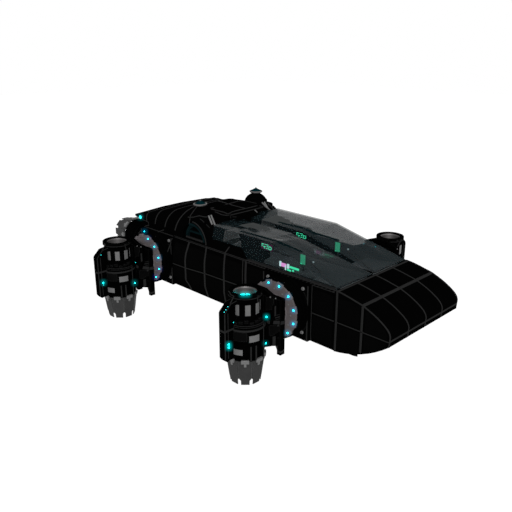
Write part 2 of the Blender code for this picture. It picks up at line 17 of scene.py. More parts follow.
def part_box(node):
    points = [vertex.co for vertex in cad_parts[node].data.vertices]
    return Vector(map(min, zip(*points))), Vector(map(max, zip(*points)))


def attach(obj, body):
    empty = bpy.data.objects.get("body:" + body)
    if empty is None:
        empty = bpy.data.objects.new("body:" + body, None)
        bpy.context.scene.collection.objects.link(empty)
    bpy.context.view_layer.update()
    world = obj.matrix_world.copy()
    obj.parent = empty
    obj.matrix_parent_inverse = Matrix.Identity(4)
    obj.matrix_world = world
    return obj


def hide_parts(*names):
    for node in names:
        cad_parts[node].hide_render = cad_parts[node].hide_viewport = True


bl_info = {
    "name": "Hovercraft dressing",
    "version": (1, 0, 0),
    "blender": (4, 5, 0),
    "location": "View3D > Sidebar > Hovercraft",
    "description": "Paint, seams, lamps, cockpits and pod fittings of a two-seat hovercraft",
    "category": "Object",
}

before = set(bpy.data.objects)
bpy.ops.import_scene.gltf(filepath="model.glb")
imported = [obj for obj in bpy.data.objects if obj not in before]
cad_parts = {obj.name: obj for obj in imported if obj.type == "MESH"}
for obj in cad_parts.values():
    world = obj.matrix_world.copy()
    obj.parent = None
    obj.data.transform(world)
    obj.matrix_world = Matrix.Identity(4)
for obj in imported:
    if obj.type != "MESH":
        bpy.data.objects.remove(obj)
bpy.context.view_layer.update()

GAP = 0.0003
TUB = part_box("hull_tub")
ORIGIN = Vector((TUB[1].x + GAP, 0.0, TUB[0].z))
HULL = Matrix.Translation(ORIGIN)
UNMOVED = Matrix.Identity(4)
MIRROR = Matrix.Scale(-1, 4, (0, 1, 0))
UP, FORE, OUT = Vector((0, 0, 1)), Vector((1, 0, 0)), Vector((0, -1, 0))
DOWN, BACK, INWARD = -UP, -FORE, -OUT
SIDES = {"right": -1, "left": 1}
POD_XS = {"front": -1.10, "rear": -5.035}
PODS = [(f"{end}_{side}", x, sign) for end, x in POD_XS.items() for side, sign in SIDES.items()]

# Sizes repeated from the part
HULL_HALF = 1.10
BELT_Z = 1.153
DECK_LEAN = 0.22
PAD_FACE_Y = 1.188
RING_FACE_Y = 1.474
PIVOT_Z = 0.583
POD_Y = 2.20
BARREL_R = 0.345
SLOT_ANGLE = 11.5
NOZZLE_TOP_R = 0.334
NOZZLE_TIP_R = 0.268
NOZZLE_LENGTH = 0.49
PETALS = 8
THRUSTER_ROOT = (-6.18, 0.924, 0.815)
DOME_CENTRE = Vector((-3.87, 0.83, 1.60))
TAIL_LIGHT = (-5.683, 1.335)
COCKPIT_Y = 0.55

# Sizes of the dressing
WAIST_Z = 0.572
SINK = 0.004  # how deep a fitting sits in what carries it
SHARP_ANGLE = radians(35)
CUSHION_SWELL = 0.022
CUSHION_PROUD = 0.010
CAMERA_SPOT = Vector((5.92830, -8.96456, 5.18258))
CAMERA_AZIMUTH, CAMERA_RISE = radians(45.0), radians(19.2308)


# Colour and materials

def srgb(code):
    """A linear colour from an sRGB hex code."""
    values = [int(code[i:i + 2], 16) / 255 for i in (1, 3, 5)]
    return [v / 12.92 if v <= 0.04045 else ((v + 0.055) / 1.055) ** 2.4 for v in values]


def add_node(tree, kind, settings=None, links=None):
    """A node with its properties or unlinked sockets set, and its other sockets fed."""
    made = tree.nodes.new(kind)
    for key, value in (settings or {}).items():
        if isinstance(key, str) and hasattr(made, key):
            setattr(made, key, value)
        else:
            made.inputs[key].default_value = value
    for key, source in (links or {}).items():
        tree.links.new(source, made.inputs[key])
    return made


def blank(name):
    """A material without nodes, and its tree."""
    made = bpy.data.materials.new(name)
    made.use_nodes = True
    made.node_tree.nodes.clear()
    return made, made.node_tree


def principled(tree, settings, links):
    """The tree's shader, joined to its output."""
    shader = add_node(tree, "ShaderNodeBsdfPrincipled", settings, links)
    add_node(tree, "ShaderNodeOutputMaterial", links={"Surface": shader.outputs[0]})


def mottled(tree, low, high, size):
    """A colour that drifts between two hex codes over patches of the given size in metres."""
    place = add_node(tree, "ShaderNodeTexCoord").outputs["Object"]
    noise = add_node(tree, "ShaderNodeTexNoise", {"Scale": 1 / size, "Detail": 4.0, "Roughness": 0.6},
                     {"Vector": place})
    blend = add_node(tree, "ShaderNodeMix", {"data_type": "RGBA", 6: (*srgb(low), 1), 7: (*srgb(high), 1)},
                     {0: noise.outputs[0]})
    return blend.outputs[2], noise.outputs[0], place


def coating(name, low, high, rough, grain, depth, metallic=0.0, specular=0.5, patch=0.35, stretch=(1, 1, 1),
            worn=None):
    """A painted, cast or moulded finish: drifting colour, fine grain in the bump, and bared edges if worn."""
    made, tree = blank(name)
    colour, drift, place = mottled(tree, low, high, patch)
    if worn:
        bevel = add_node(tree, "ShaderNodeBevel", {"samples": 4, "Radius": 0.012})
        facing = add_node(tree, "ShaderNodeNewGeometry")
        match = add_node(tree, "ShaderNodeVectorMath", {"operation": "DOT_PRODUCT"},
                         {0: bevel.outputs[0], 1: facing.outputs["Normal"]})
        chips = add_node(tree, "ShaderNodeTexNoise", {"Scale": 60.0, "Detail": 5.0}, {"Vector": place})
        edge = add_node(tree, "ShaderNodeMath", {"operation": "MULTIPLY_ADD", 1: -6.0, 2: 5.75},
                        {0: match.outputs["Value"]})
        bare = add_node(tree, "ShaderNodeMath", {"operation": "MULTIPLY", "use_clamp": True},
                        {0: edge.outputs[0], 1: chips.outputs[0]})
        colour = add_node(tree, "ShaderNodeMix", {"data_type": "RGBA", 7: (*srgb(worn), 1)},
                          {0: bare.outputs[0], 6: colour}).outputs[2]
    spread = add_node(tree, "ShaderNodeMapping", {"Scale": stretch}, {"Vector": place})
    fine = add_node(tree, "ShaderNodeTexNoise", {"Scale": 1 / grain, "Detail": 3.0}, {"Vector": spread.outputs[0]})
    bump = add_node(tree, "ShaderNodeBump", {"Strength": 0.6, "Distance": depth}, {"Height": fine.outputs[0]})
    gloss = add_node(tree, "ShaderNodeMapRange", {"To Min": rough - 0.12, "To Max": rough + 0.12},
                     {"Value": drift})
    principled(tree, {"Metallic": metallic, "Specular IOR Level": specular},
            {"Base Color": colour, "Roughness": gloss.outputs[0], "Normal": bump.outputs[0]})
    return made


def lit(name, hex_code, strength, lens="#203030", ripple=0.004):
    """A lamp behind a moulded lens, with a faint ripple in its light."""
    made, tree = blank(name)
    place = add_node(tree, "ShaderNodeTexCoord").outputs["Object"]
    cells = add_node(tree, "ShaderNodeTexVoronoi", {"Scale": 1 / ripple}, {"Vector": place})
    power = add_node(tree, "ShaderNodeMapRange", {"To Min": strength, "To Max": strength * 0.7},
                     {"Value": cells.outputs["Distance"]})
    principled(tree, {"Base Color": (*srgb(lens), 1), "Roughness": 0.2, "Emission Color": (*srgb(hex_code), 1)},
            {"Emission Strength": power.outputs[0]})
    return made


def seat_cloth():
    """Ribbed woven seat cloth: threads 5 mm apart, drawn coarse so that they show."""
    made, tree = blank("woven seat cloth")
    colour, _, place = mottled(tree, "#212425", "#292c2d", 0.1)
    warp, weft = (add_node(tree, "ShaderNodeTexWave",
                           {"Scale": 60.0, "Distortion": 0.6, "bands_direction": way}, {"Vector": place})
                  for way in "YZ")
    weave = add_node(tree, "ShaderNodeMath", {"operation": "MULTIPLY"}, {0: warp.outputs[1], 1: weft.outputs[1]})
    shade = add_node(tree, "ShaderNodeMix",
                     {"data_type": "RGBA", "blend_type": "MULTIPLY", 7: (0.6, 0.6, 0.6, 1)},
                     {0: weave.outputs[0], 6: colour})
    bump = add_node(tree, "ShaderNodeBump", {"Strength": 0.5, "Distance": 0.001}, {"Height": weave.outputs[0]})
    principled(tree, {"Roughness": 0.85, "Sheen Weight": 0.3},
            {"Base Color": shade.outputs[2], "Normal": bump.outputs[0]})
    return made


def tinted_glass(looks):
    """Smoked acrylic: mostly clear, with a grey-green body, a gloss and faint wipe marks."""
    made, tree = blank("smoked acrylic canopy")
    colour, _, place = mottled(tree, "#0c1315", "#10181a", 0.4)
    marks = add_node(tree, "ShaderNodeTexNoise", {"Scale": 9.0, "Detail": 6.0, "Distortion": 1.5},
                     {"Vector": place})
    rough = add_node(tree, "ShaderNodeMapRange", {"To Min": 0.04, "To Max": 0.14}, {"Value": marks.outputs[0]})
    # The upright sides are clearer than the top
    facing = add_node(tree, "ShaderNodeSeparateXYZ", None,
                      {0: add_node(tree, "ShaderNodeTexCoord").outputs["Normal"]})
    tint = add_node(tree, "ShaderNodeMapRange",
                    {"From Min": 0.4, "From Max": 0.9, "To Min": looks.glass_density * 0.45,
                     "To Max": looks.glass_density}, {"Value": facing.outputs[2]})
    principled(tree, {"Specular IOR Level": looks.glass_gloss},
            {"Base Color": colour, "Roughness": rough.outputs[0], "Alpha": tint.outputs[0]})
    return made


PAINTS = {}

# Name, dark and light shade, roughness, size and depth of the grain, and what else sets the finish apart.
# The two without a specular value take the hull's sheen.
COATINGS = {
    # Night-black matt coating sprayed on composite: a faint drift and a 4 mm orange peel
    "hull_coating": ("matt black hull coating", "#010101", "#020202", 0.8, 0.004, 0.0004, {}),
    # The inset panels on the sides are the same coating a shade greyer: painted light, so that the lit sides read
    # lighter than the black top
    "painted_sidelight_coating": ("inset panel coating greyed as painted side light", "#020202", "#030303", 0.8, 0.003, 0.0005, {"patch": 0.15}),
    # Extruded grey rubber in the seams: dull, dusty, 3 mm pores
    "seam_rubber": ("grey seam rubber", "#121212", "#181818", 0.75, 0.003, 0.0006,
                    {"specular": 0.02, "patch": 0.08}),
    # Cast black alloy of the pods, painted, bared a little at its edges
    "pod_coating": ("black pod casting", "#000000", "#020202", 0.7, 0.003, 0.0006,
                    {"specular": 0.0, "patch": 0.2, "worn": "#101010"}),
    # Machined dark facets of the pods' frames
    "pod_plate": ("dark grey pod plate", "#030303", "#060606", 0.6, 0.002, 0.0003,
                  {"specular": 0.0, "patch": 0.12, "worn": "#1c1c1c"}),
    # Warm grey cast aluminium of the pivot rings, satin, with a 4 mm sand-cast grain
    "ring_casting": ("warm grey ring casting", "#3b3738", "#454142", 0.6, 0.004, 0.0010,
                     {"specular": 0.1, "patch": 0.10, "worn": "#585354"}),
    # Spun aluminium of the intakes: turned rings 2 mm apart
    "duct_metal": ("spun aluminium duct", "#454343", "#504e4e", 0.52, 0.002, 0.0004,
                   {"metallic": 0.75, "specular": 0.5, "patch": 0.2, "stretch": (0.2, 0.2, 6)}),
    # Heat-treated steel of the petals: grey scale with darker blooms
    "nozzle_steel": ("heat greyed nozzle steel", "#181818", "#232323", 0.6, 0.003, 0.0006,
                     {"specular": 0.1, "patch": 0.12, "worn": "#3c3c3c", "stretch": (4, 4, 0.5)}),
    # Zinc-plated screws and small fittings
    "zinc": ("zinc plated fitting", "#3e3e3e", "#4a4a4a", 0.5, 0.001, 0.0002, {"specular": 0.3, "patch": 0.02}),
    # Polycarbonate diffuser panels of the pods, unlit: pale and even
    "diffuser": ("pale diffuser panel", "#404040", "#484848", 0.5, 0.006, 0.0003,
                 {"specular": 0.2, "patch": 0.1}),
    # Moulded plastics with a leather-like 2 mm grain
    "black_plastic": ("grained black plastic", "#101212", "#181a1a", 0.55, 0.002, 0.0008,
                      {"specular": 0.3, "patch": 0.1}),
    "console_plastic": ("grained grey console plastic", "#363b3d", "#3e4345", 0.6, 0.002, 0.0006,
                        {"specular": 0.2, "patch": 0.15}),
    # Teal polycarbonate, without a sheen since the pale studio would show in it
    "teal_panel": ("dark teal polycarbonate panel", "#030a0b", "#061113", 0.5, 0.008, 0.0003,
                   {"specular": 0.0, "patch": 0.15}),
    "beacon_lens": ("teal beacon lens", "#000e11", "#02181c", 0.5, 0.006, 0.0006,
                    {"specular": 0.0, "patch": 0.05}),
    # The block that stands for the machinery
    "machinery": ("bare grey machinery", "#0c0c0c", "#161616", 0.6, 0.01, 0.001, {"specular": 0.5, "patch": 0.2}),
    # Grey patches on the rear of the canopies' tops: a painted reflection in the glass, matt so that no real gloss
    # adds to it
    "painted_glass_reflection": ("grey painted canopy reflection", "#2a2c2c", "#343636", 0.6, 0.01, 0.0003, {"specular": 0.0, "patch": 0.2}),
}


def mix_paints(looks):
    """Every finish of the craft."""
    for key, (*finish, extras) in COATINGS.items():
        PAINTS[key] = coating(*finish, **{"specular": looks.hull_sheen, **extras})
    led = "#%02x%02x%02x" % tuple(round(255 * v ** (1 / 2.2)) for v in looks.lamp_colour)
    for key, *lamp in (
            ("lamp", "cyan lamp lens", led, looks.lamp_power),
            ("small_lamp", "small blue-cyan lamp", "#00e0ff", looks.lamp_power * 0.9),
            ("tail_lamp", "cyan tail lamp lens", led, looks.lamp_power * 0.35),
            # Too faint to throw a halo
            ("pin_lamp", "faint cyan lamp lens", led, 1.7),
            ("glow_strip", "cyan duct strip", led, looks.lamp_power),
            ("screen", "green instrument screen", "#3fe0a8", looks.screen_power, "#041008", 0.02),
            ("key_pink", "pink key", "#d78fd0", looks.screen_power),
            ("key_white", "white key", "#b8d8dc", looks.screen_power),
            ("key_halo", "magenta rim light", "#a00080", looks.screen_power * 0.12)):
        PAINTS[key] = lit(*lamp)
    PAINTS["seat_cloth"] = seat_cloth()
    PAINTS["tinted_glass"] = tinted_glass(looks)


# Meshes

def carry(name, mesh, body, paint=None):
    """Puts a finished mesh on its CAD body and gives it its finish."""
    piece = bpy.data.objects.new(name, mesh)
    bpy.context.scene.collection.objects.link(piece)
    if paint:
        mesh.materials.clear()
        mesh.materials.append(PAINTS[paint])
    mesh.shade_smooth()
    mesh.set_sharp_from_angle(angle=SHARP_ANGLE)
    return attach(piece, body)


class Shape:
    """Collects the faces of one piece."""

    def __init__(self):
        self.verts = []
        self.faces = []

    def add(self, verts, faces, place=None):
        start = len(self.verts)
        self.verts += [place @ Vector(v) if place else Vector(v) for v in verts]
        self.faces += [[start + i for i in face] for face in faces]

    def loft(self, loops, place=None, closed=False):
        """A solid through loops that all have the same number of points."""
        count = len(loops[0])
        rows = len(loops)
        faces = []
        for row in range(rows if closed else rows - 1):
            after = (row + 1) % rows
            for i in range(count):
                j = (i + 1) % count
                faces.append((row * count + i, row * count + j, after * count + j, after * count + i))
        if not closed:
            faces += [tuple(range(count)), tuple(range((rows - 1) * count, rows * count))]
        self.add([p for loop in loops for p in loop], faces, place)

    def block(self, low, high, place=None, edge=0.004):
        """A bar between two corners, in any order, chamfered all round."""
        (x0, x1), (y0, y1), (z0, z1) = (sorted(pair) for pair in zip(low, high))
        edge = min(edge, (z1 - z0) / 3, (x1 - x0) / 3, (y1 - y0) / 3)
        loops = []
        for inset, z in ((edge, z0), (0, z0 + edge), (0, z1 - edge), (edge, z1)):
            a0, a1, b0, b1 = x0 + inset, x1 - inset, y0 + inset, y1 - inset
            loops.append([(a0 + edge, b0, z), (a1 - edge, b0, z), (a1, b0 + edge, z), (a1, b1 - edge, z),
                          (a1 - edge, b1, z), (a0 + edge, b1, z), (a0, b1 - edge, z), (a0, b0 + edge, z)])
        self.loft(loops, place)

    def prism(self, outline, start, end, plane="XZ"):
        """A flat outline of the XZ or XY plane, as thick as start to end."""
        self.loft([[(a, b, depth) if plane == "XY" else (a, depth, b) for a, b in outline]
                   for depth in (start, end)])

    def lathe(self, profile, steps=24, place=None, begin=0.0, sweep=360.0):
        """A profile of radius and height turned about Z. Part of a turn has capped ends."""
        whole = sweep >= 360
        angles = [radians(begin + sweep * i / steps) for i in range(steps + (0 if whole else 1))]
        loops = [[(r * cos(a), r * sin(a), z) for r, z in profile] for a in angles]
        self.loft(loops, place, closed=whole)

    def tube(self, points, radius, sides=8):
        """A round bar along points."""
        points = [Vector(p) for p in points]
        loops = []
        lead = None
        for i, point in enumerate(points):
            ahead = (points[min(i + 1, len(points) - 1)] - points[max(i - 1, 0)]).normalized()
            if lead is None:
                lead = ahead.orthogonal().normalized()
            lead = (lead - ahead * lead.dot(ahead)).normalized()
            across = ahead.cross(lead)
            loops.append([point + radius * (x * lead + y * across) for x, y in circle(1.0, sides)])
        self.loft(loops)

    def strip(self, spots, width, height, sink=SINK):
        """A low band with chamfered edges along surface spots, each a point and its normal."""
        loops = []
        last = len(spots) - 1
        for i, (point, normal) in enumerate(spots):
            ahead = spots[min(i + 1, last)][0] - spots[max(i - 1, 0)][0]
            across = normal.cross(ahead).normalized()
            loops.append([point + across * width * a + normal * h for a, h in
                          ((-0.5, -sink), (-0.5, height * 0.4), (-0.38, height), (0.38, height),
                           (0.5, height * 0.4), (0.5, -sink))])
        self.loft(loops)

    def mesh(self, name, place):
        made = bpy.data.meshes.new(name)
        made.from_pydata([place @ v for v in self.verts], [], self.faces)
        bm = bmesh.new()
        bm.from_mesh(made)
        bmesh.ops.remove_doubles(bm, verts=bm.verts, dist=1e-6)
        bmesh.ops.recalc_face_normals(bm, faces=bm.faces)
        bm.to_mesh(made)
        bm.free()
        return made

    def finish(self, name, body="hull", slot="hull_black", paint="seam_rubber", place=HULL):
        return carry(name, self.mesh(name, place), body, paint)

    def twinned(self, name, slot="hull_black", paint="seam_rubber", move=MIRROR):
        """The starboard piece and its port twin, as one mesh on the hull."""
        both = Shape()
        both.add(self.verts, self.faces)
        both.add(self.verts, self.faces, move)
        return both.finish(name, "hull", slot, paint)


def circle(radius, count):
    """Points of a full circle about the origin."""
    return [(radius * cos(a), radius * sin(a)) for a in [tau * k / count for k in range(count)]]


def arc(centre, radius, begin, end, steps):
    """Points of part of a circle, from degrees to degrees."""
    return [(centre[0] + radius * cos(a), centre[1] + radius * sin(a))
            for a in [radians(begin + (end - begin) * k / steps) for k in range(steps + 1)]]


def turned(spot, degrees, axis):
    """The place at a spot, turned about an axis."""
    return Matrix.Translation(spot) @ Matrix.Rotation(radians(degrees), 4, axis)


def pod_place(x, sign):
    """From pod coordinates to the row frame."""
    return HULL @ turned((x, 0, 0), 0 if sign < 0 else 180, "Z")


def skin(*names):
    """The surface of CAD nodes, in hull coordinates, for rays."""
    verts, faces = [], []
    for name in names:
        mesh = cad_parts[name].data
        start = len(verts)
        verts += [v.co - ORIGIN for v in mesh.vertices]
        faces += [[start + i for i in face.vertices] for face in mesh.polygons]
    return BVHTree.FromPolygons(verts, faces)


def drape(surface, points, direction, spacing=0.05):
    """Spots, each a point and its normal, where a path lands on a surface when pushed in a direction."""
    path = []
    points = [Vector(p) for p in points]
    for a, b in zip(points, points[1:]):
        steps = max(1, round((b - a).length / spacing))
        path += [a.lerp(b, i / steps) for i in range(steps)]
    path.append(points[-1])
    spots = []
    for point in path:
        hit, normal, _, _ = surface.ray_cast(point - direction * 4, direction)
        if hit is not None:
            spots.append((hit, normal if normal.dot(direction) < 0 else -normal))
    return spots


def instancing_tree(name, along_edges):
    """Copies an item onto points, or along edges at a spacing, turned to their facing attribute."""
    tree = bpy.data.node_groups.new(name, "GeometryNodeTree")
    for title, way, kind in (("Geometry", "INPUT", "Geometry"), ("Item", "INPUT", "Object"),
                             ("Finish", "INPUT", "Material"), ("Spacing", "INPUT", "Float"),
                             ("Geometry", "OUTPUT", "Geometry")):
        tree.interface.new_socket(title, in_out=way, socket_type="NodeSocket" + kind)
    given = add_node(tree, "NodeGroupInput").outputs
    facing, heading = (add_node(tree, "GeometryNodeInputNamedAttribute",
                                {"data_type": "FLOAT_VECTOR", "Name": key}).outputs[0]
                       for key in ("facing", "heading"))
    item = add_node(tree, "GeometryNodeObjectInfo", {"As Instance": True}, {"Object": given["Item"]})
    points = given["Geometry"]
    if along_edges:
        curve = add_node(tree, "GeometryNodeMeshToCurve", links={"Mesh": points})
        points = add_node(tree, "GeometryNodeResampleCurve", {"mode": "LENGTH"},
                          {"Curve": curve.outputs[0], "Length": given["Spacing"]}).outputs[0]
    up = add_node(tree, "FunctionNodeAlignRotationToVector", {"axis": "Z"}, {"Vector": facing})
    turn = add_node(tree, "FunctionNodeAlignRotationToVector", {"axis": "X", "pivot_axis": "Z"},
                    {"Rotation": up.outputs[0], "Vector": heading})
    copies = add_node(tree, "GeometryNodeInstanceOnPoints", None,
                      {"Points": points, "Instance": item.outputs["Geometry"], "Rotation": turn.outputs[0]})
    real = add_node(tree, "GeometryNodeRealizeInstances", links={"Geometry": copies.outputs[0]})
    painted = add_node(tree, "GeometryNodeSetMaterial", None,
                       {"Geometry": real.outputs[0], "Material": given["Finish"]})
    add_node(tree, "NodeGroupOutput", links={"Geometry": painted.outputs[0]})
    return tree


TREES = {}


def repeat(name, item, spots, body, paint, place=HULL, spacing=0.0):
    """Copies of an item shape on spots, each a point, normal and heading, or along them at a spacing."""
    kind = "row of fittings" if spacing else "scattered fittings"
    if kind not in TREES:
        TREES[kind] = instancing_tree(kind, bool(spacing))
    tree = TREES[kind]
    turn = place.to_3x3()
    host_mesh = bpy.data.meshes.new(name)
    edges = [(i, i + 1) for i in range(len(spots) - 1)] if spacing else []
    host_mesh.from_pydata([place @ Vector(spot[0]) for spot in spots], edges, [])
    for index, key in ((1, "facing"), (2, "heading")):
        attribute = host_mesh.attributes.new(key, "FLOAT_VECTOR", "POINT")
        attribute.data.foreach_set("vector", [v for spot in spots for v in turn @ Vector(spot[index])])
    host = bpy.data.objects.new(name + "_host", host_mesh)
    pattern = bpy.data.objects.new(name + "_item", item.mesh(name + "_item", UNMOVED))
    for obj in (host, pattern):
        bpy.context.scene.collection.objects.link(obj)
    modifier = host.modifiers.new("copies", "NODES")
    modifier.node_group = tree
    values = {"Item": pattern, "Finish": PAINTS[paint], "Spacing": spacing or 0.1}
    for socket in tree.interface.items_tree:
        if socket.in_out == "INPUT" and socket.name in values:
            modifier[socket.identifier] = values[socket.name]
    bpy.context.view_layer.update()
    evaluated = host.evaluated_get(bpy.context.evaluated_depsgraph_get())
    mesh = bpy.data.meshes.new_from_object(evaluated)
    for obj in (host, pattern):
        bpy.data.objects.remove(obj, do_unlink=True)
    mesh.name = name
    return carry(name, mesh, body)


def on_hull_side(spots, sign):
    """Starboard spots as they are, or their port twins."""
    if sign < 0:
        return spots
    return [(MIRROR @ point, MIRROR.to_3x3() @ normal, heading) for point, normal, heading in spots]


def around(axis_point, radius, height, degrees):
    """A spot on an upright cylinder, facing out, with its heading up."""
    out = Vector((cos(radians(degrees)), sin(radians(degrees)), 0))
    return Vector(axis_point) + out * radius + UP * height, out, UP


def spoke(degrees):
    """A unit step away from a ring's middle, in the plane of the hull's side."""
    return Vector((cos(radians(degrees)), 0, sin(radians(degrees))))


# Fittings that repeat

def screw_head(radius, height):
    """A socket cap screw with a recess, standing along Z."""
    shape = Shape()
    shape.loft([[(x * scale, y * scale, z) for x, y in circle(radius, 12)] for scale, z in (
        (1, -SINK), (1, height * 0.75), (0.85, height), (0.5, height), (0.5, height * 0.45))])
    return shape


def lamp_dome(radius, rise=0.2):
    """A round lens, standing along Z on a collar whose rise is a share of its radius."""
    shape = Shape()
    dome = [(x, rise * radius + 0.8 * y) for x, y in arc((0, 0), radius, 22.5, 67.5, 2)]
    shape.lathe([(0.0, -SINK), (radius, -SINK), (radius, rise * radius), *dome, (0.0, (rise + 0.8) * radius)], 16)
    return shape


def lamp_bezel(radius):
    """A stepped ring around a lens."""
    shape = Shape()
    shape.lathe([(radius * 0.98, -SINK), (radius * 1.55, -SINK), (radius * 1.55, 0.004), (radius * 1.3, 0.009),
                 (radius * 0.98, 0.006)], 20)
    return shape


def hatch_bar():
    """A slanting bar of the seal's lattice."""
    shape = Shape()
    shape.prism([(-0.040, -0.022), (-0.022, -0.022), (0.040, 0.022), (0.022, 0.022)], -SINK, 0.006, "XY")
    return shape


def petal_pin():
    """The T-shaped pivot at the top of a nozzle petal, with its heading up the petal."""
    shape = Shape()
    shape.block((-0.075, -0.070, -SINK), (-0.005, 0.070, 0.034))
    shape.block((-0.145, -0.022, -SINK), (-0.06, 0.022, 0.024))
    return shape


# Settings and operators

class HovercraftLooks(bpy.types.PropertyGroup):
    """Sizes and colours of the dressing that a user would change."""

    seam_width: FloatProperty(name="Seam width", description="Width of the thin rubber seams",
                              default=0.030, min=0.01, max=0.1, unit="LENGTH")
    band_width: FloatProperty(name="Band width", description="Width of the broad bands across the nose",
                              default=0.060, min=0.03, max=0.2, unit="LENGTH")
    seam_height: FloatProperty(name="Seam height", description="How far a seam stands proud of the skin",
                               default=0.006, min=0.001, max=0.02, unit="LENGTH")
    hatch_pitch: FloatProperty(name="Lattice pitch", description="Spacing of the bars in the canopy seal",
                               default=0.086, min=0.04, max=0.2, unit="LENGTH")
    hull_sheen: FloatProperty(name="Hull sheen", description="How much light the matt black hull throws back",
                              default=0.0, min=0.0, max=1.0, subtype="FACTOR")
    glass_density: FloatProperty(name="Canopy tint", description="How much the canopies hide of the cockpits",
                                 default=0.62, min=0.0, max=1.0, subtype="FACTOR")
    glass_gloss: FloatProperty(name="Canopy gloss", description="How strongly the canopies mirror the sky",
                               default=0.02, min=0.0, max=1.0, subtype="FACTOR")
    screen_power: FloatProperty(name="Screen power", description="Brightness of the screens and keys",
                                default=2.2, min=0.0, max=20.0)
    lamp_colour: FloatVectorProperty(name="Lamp colour", description="Colour of the position lamps",
                                     default=(0.0, 1.0, 1.0), min=0, max=1, subtype="COLOR")
    lamp_power: FloatProperty(name="Lamp power", description="Brightness of the large lamps",
                              default=9.0, min=0.0, max=100.0)
    lamp_radius: FloatProperty(name="Lamp radius", description="Radius of the large lamps on the pods",
                               default=0.014, min=0.01, max=0.06, unit="LENGTH")
    fan_blades: IntProperty(name="Fan blades", description="Blades of each intake fan", default=11, min=5, max=25)


class CraftOperator:
    """Shared settings of the operators."""

    bl_options = {"REGISTER", "UNDO"}

    def execute(self, context):
        self.make(context.scene.hovercraft_looks)
        return {"FINISHED"}


class HOVERCRAFT_OT_finishes(CraftOperator, bpy.types.Operator):
    """Mix the materials and give each CAD node its own"""

    bl_idname = "hovercraft.finishes"
    bl_label = "Finishes"
    # The first entry that a node's name holds counts, and any other node has the hull's coating
    PAINT_OF = {
        "beacon": "beacon_lens", "canopy": "tinted_glass", "console": "console_plastic",
        "pivot_ring": "ring_casting", "power_unit": "machinery", "side_port": "teal_panel",
        "tail_light": "tail_lamp", "_nozzle": "nozzle_steel", "thruster": "pod_coating",
        "_body": "pod_coating", "_duct": "duct_metal"}

    def make(self, looks):
        mix_paints(looks)
        for name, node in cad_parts.items():
            paint = next((paint for part, paint in self.PAINT_OF.items() if part in name), "hull_coating")
            node.data.materials.clear()
            node.data.materials.append(PAINTS[paint])


class HOVERCRAFT_OT_nose_bands(CraftOperator, bpy.types.Operator):
    """Lay the grey bands and seams over the nose"""

    bl_idname = "hovercraft.nose_bands"
    bl_label = "Nose bands"

    def make(self, looks):
        nose = skin("nose", "hull_tub")
        thin, broad, high = looks.seam_width, looks.band_width, looks.seam_height
        shape = Shape()
        edge = HULL_HALF - 0.006
        for x, width in ((0.035, 0.7 * broad), (0.559, broad)):
            shape.strip(drape(nose, [(x, -edge, 1), (x, edge, 1)], DOWN, 0.2), width, high)
        shape.strip(drape(nose, [(1, -edge, 0.580), (1, edge, 0.580)], BACK, 0.2), 0.036, high)
        for y in (-HULL_HALF / 2, 0.0, HULL_HALF / 2):
            top = drape(nose, [(x, y, 1) for x in (0.06, 0.559, 0.80, 0.90, 1.0, 1.07, 1.11)], DOWN, 0.08)
            front = drape(nose, [(1, y, z) for z in (0.66, 0.60, 0.46)], BACK, 0.05)
            shape.strip(top + front, thin, high)
        shape.finish("nose_bands")
        side = Shape()
        for (x0, z0), (x1, z1), width in (((0.559, 1.036), (0.559, 0.185), 0.046),
                                          ((0.024, 1.140), (0.024, 0.012), 0.042),
                                          ((0.03, WAIST_Z), (1.106, 0.565), 0.020)):
            side.strip(drape(nose, [(x0, -1, z0), (x1, -1, z1)], INWARD, 0.3), width, high)
        rim = [(0.0, 1.153), (0.10, 1.142), (0.20, 1.125), (0.31, 1.103), (0.42, 1.077), (0.50, 1.060),
               (0.559, 1.045), (0.66, 1.005), (0.76, 0.962), (0.85, 0.917), (0.93, 0.870), (1.00, 0.823),
               (1.06, 0.775), (1.10, 0.725), (1.120, 0.670), (1.120, 0.640), (1.116, 0.590), (1.109, 0.480)]
        side.tube([(x, -HULL_HALF + 0.002, z) for x, z in rim], 0.013)
        side.twinned("nose_side_seams")


class HOVERCRAFT_OT_side_seams(CraftOperator, bpy.types.Operator):
    """Lay the upright seams and the waist line on the hull's sides"""

    bl_idname = "hovercraft.side_seams"
    bl_label = "Side seams"

    def make(self, looks):
        flank = skin("hull_side_right", "mount_pad_front_right", "mount_pad_rear_right")
        side = skin("hull_side_right")
        shape = Shape()

        def seam(face, start, end, width, spacing):
            (x0, z0), (x1, z1) = start, end
            shape.strip(drape(face, [(x0, -1, z0), (x1, -1, z1)], INWARD, spacing), width, looks.seam_height)

        for x, width, top in ((-0.545, 0.036, 1.10), (-1.668, 0.036, 1.10), (-2.214, 0.052, 1.12),
                              (-2.296, 0.020, 1.12), (-2.816, 0.044, 1.15), (-3.388, 0.044, 1.15),
                              (-3.938, 0.044, 1.13)):
            seam(side, (x, top), (x, 0.02), width, 0.06)
        for face, start, end in ((side, -0.02, -0.53), (side, -1.68, -4.44), (flank, -0.54, -1.66),
                                 (flank, -4.50, -5.60)):
            seam(face, (start, WAIST_Z), (end, WAIST_Z), 0.022, 0.08)
        seam(side, (-2.20, 1.128), (-4.44, 1.128), 0.014, 0.06)
        shape.tube([(-2.816, -1.100, 1.150), (-2.746, -1.038, 1.281)], 0.014)
        seam(side, (-4.50, 1.118), (-5.50, 1.118), 0.040, 0.1)
        for start, end, radius in ((-0.01, -2.22, 0.010), (-2.22, -4.46, 0.007)):
            shape.tube([(x, -HULL_HALF + 0.004, 1.150) for x in (start, end)], radius)
        shape.tube([(-5.526, -1.098, 1.150), (-5.845, -1.098, 0.903)], 0.014)
        shape.twinned("side_seams")


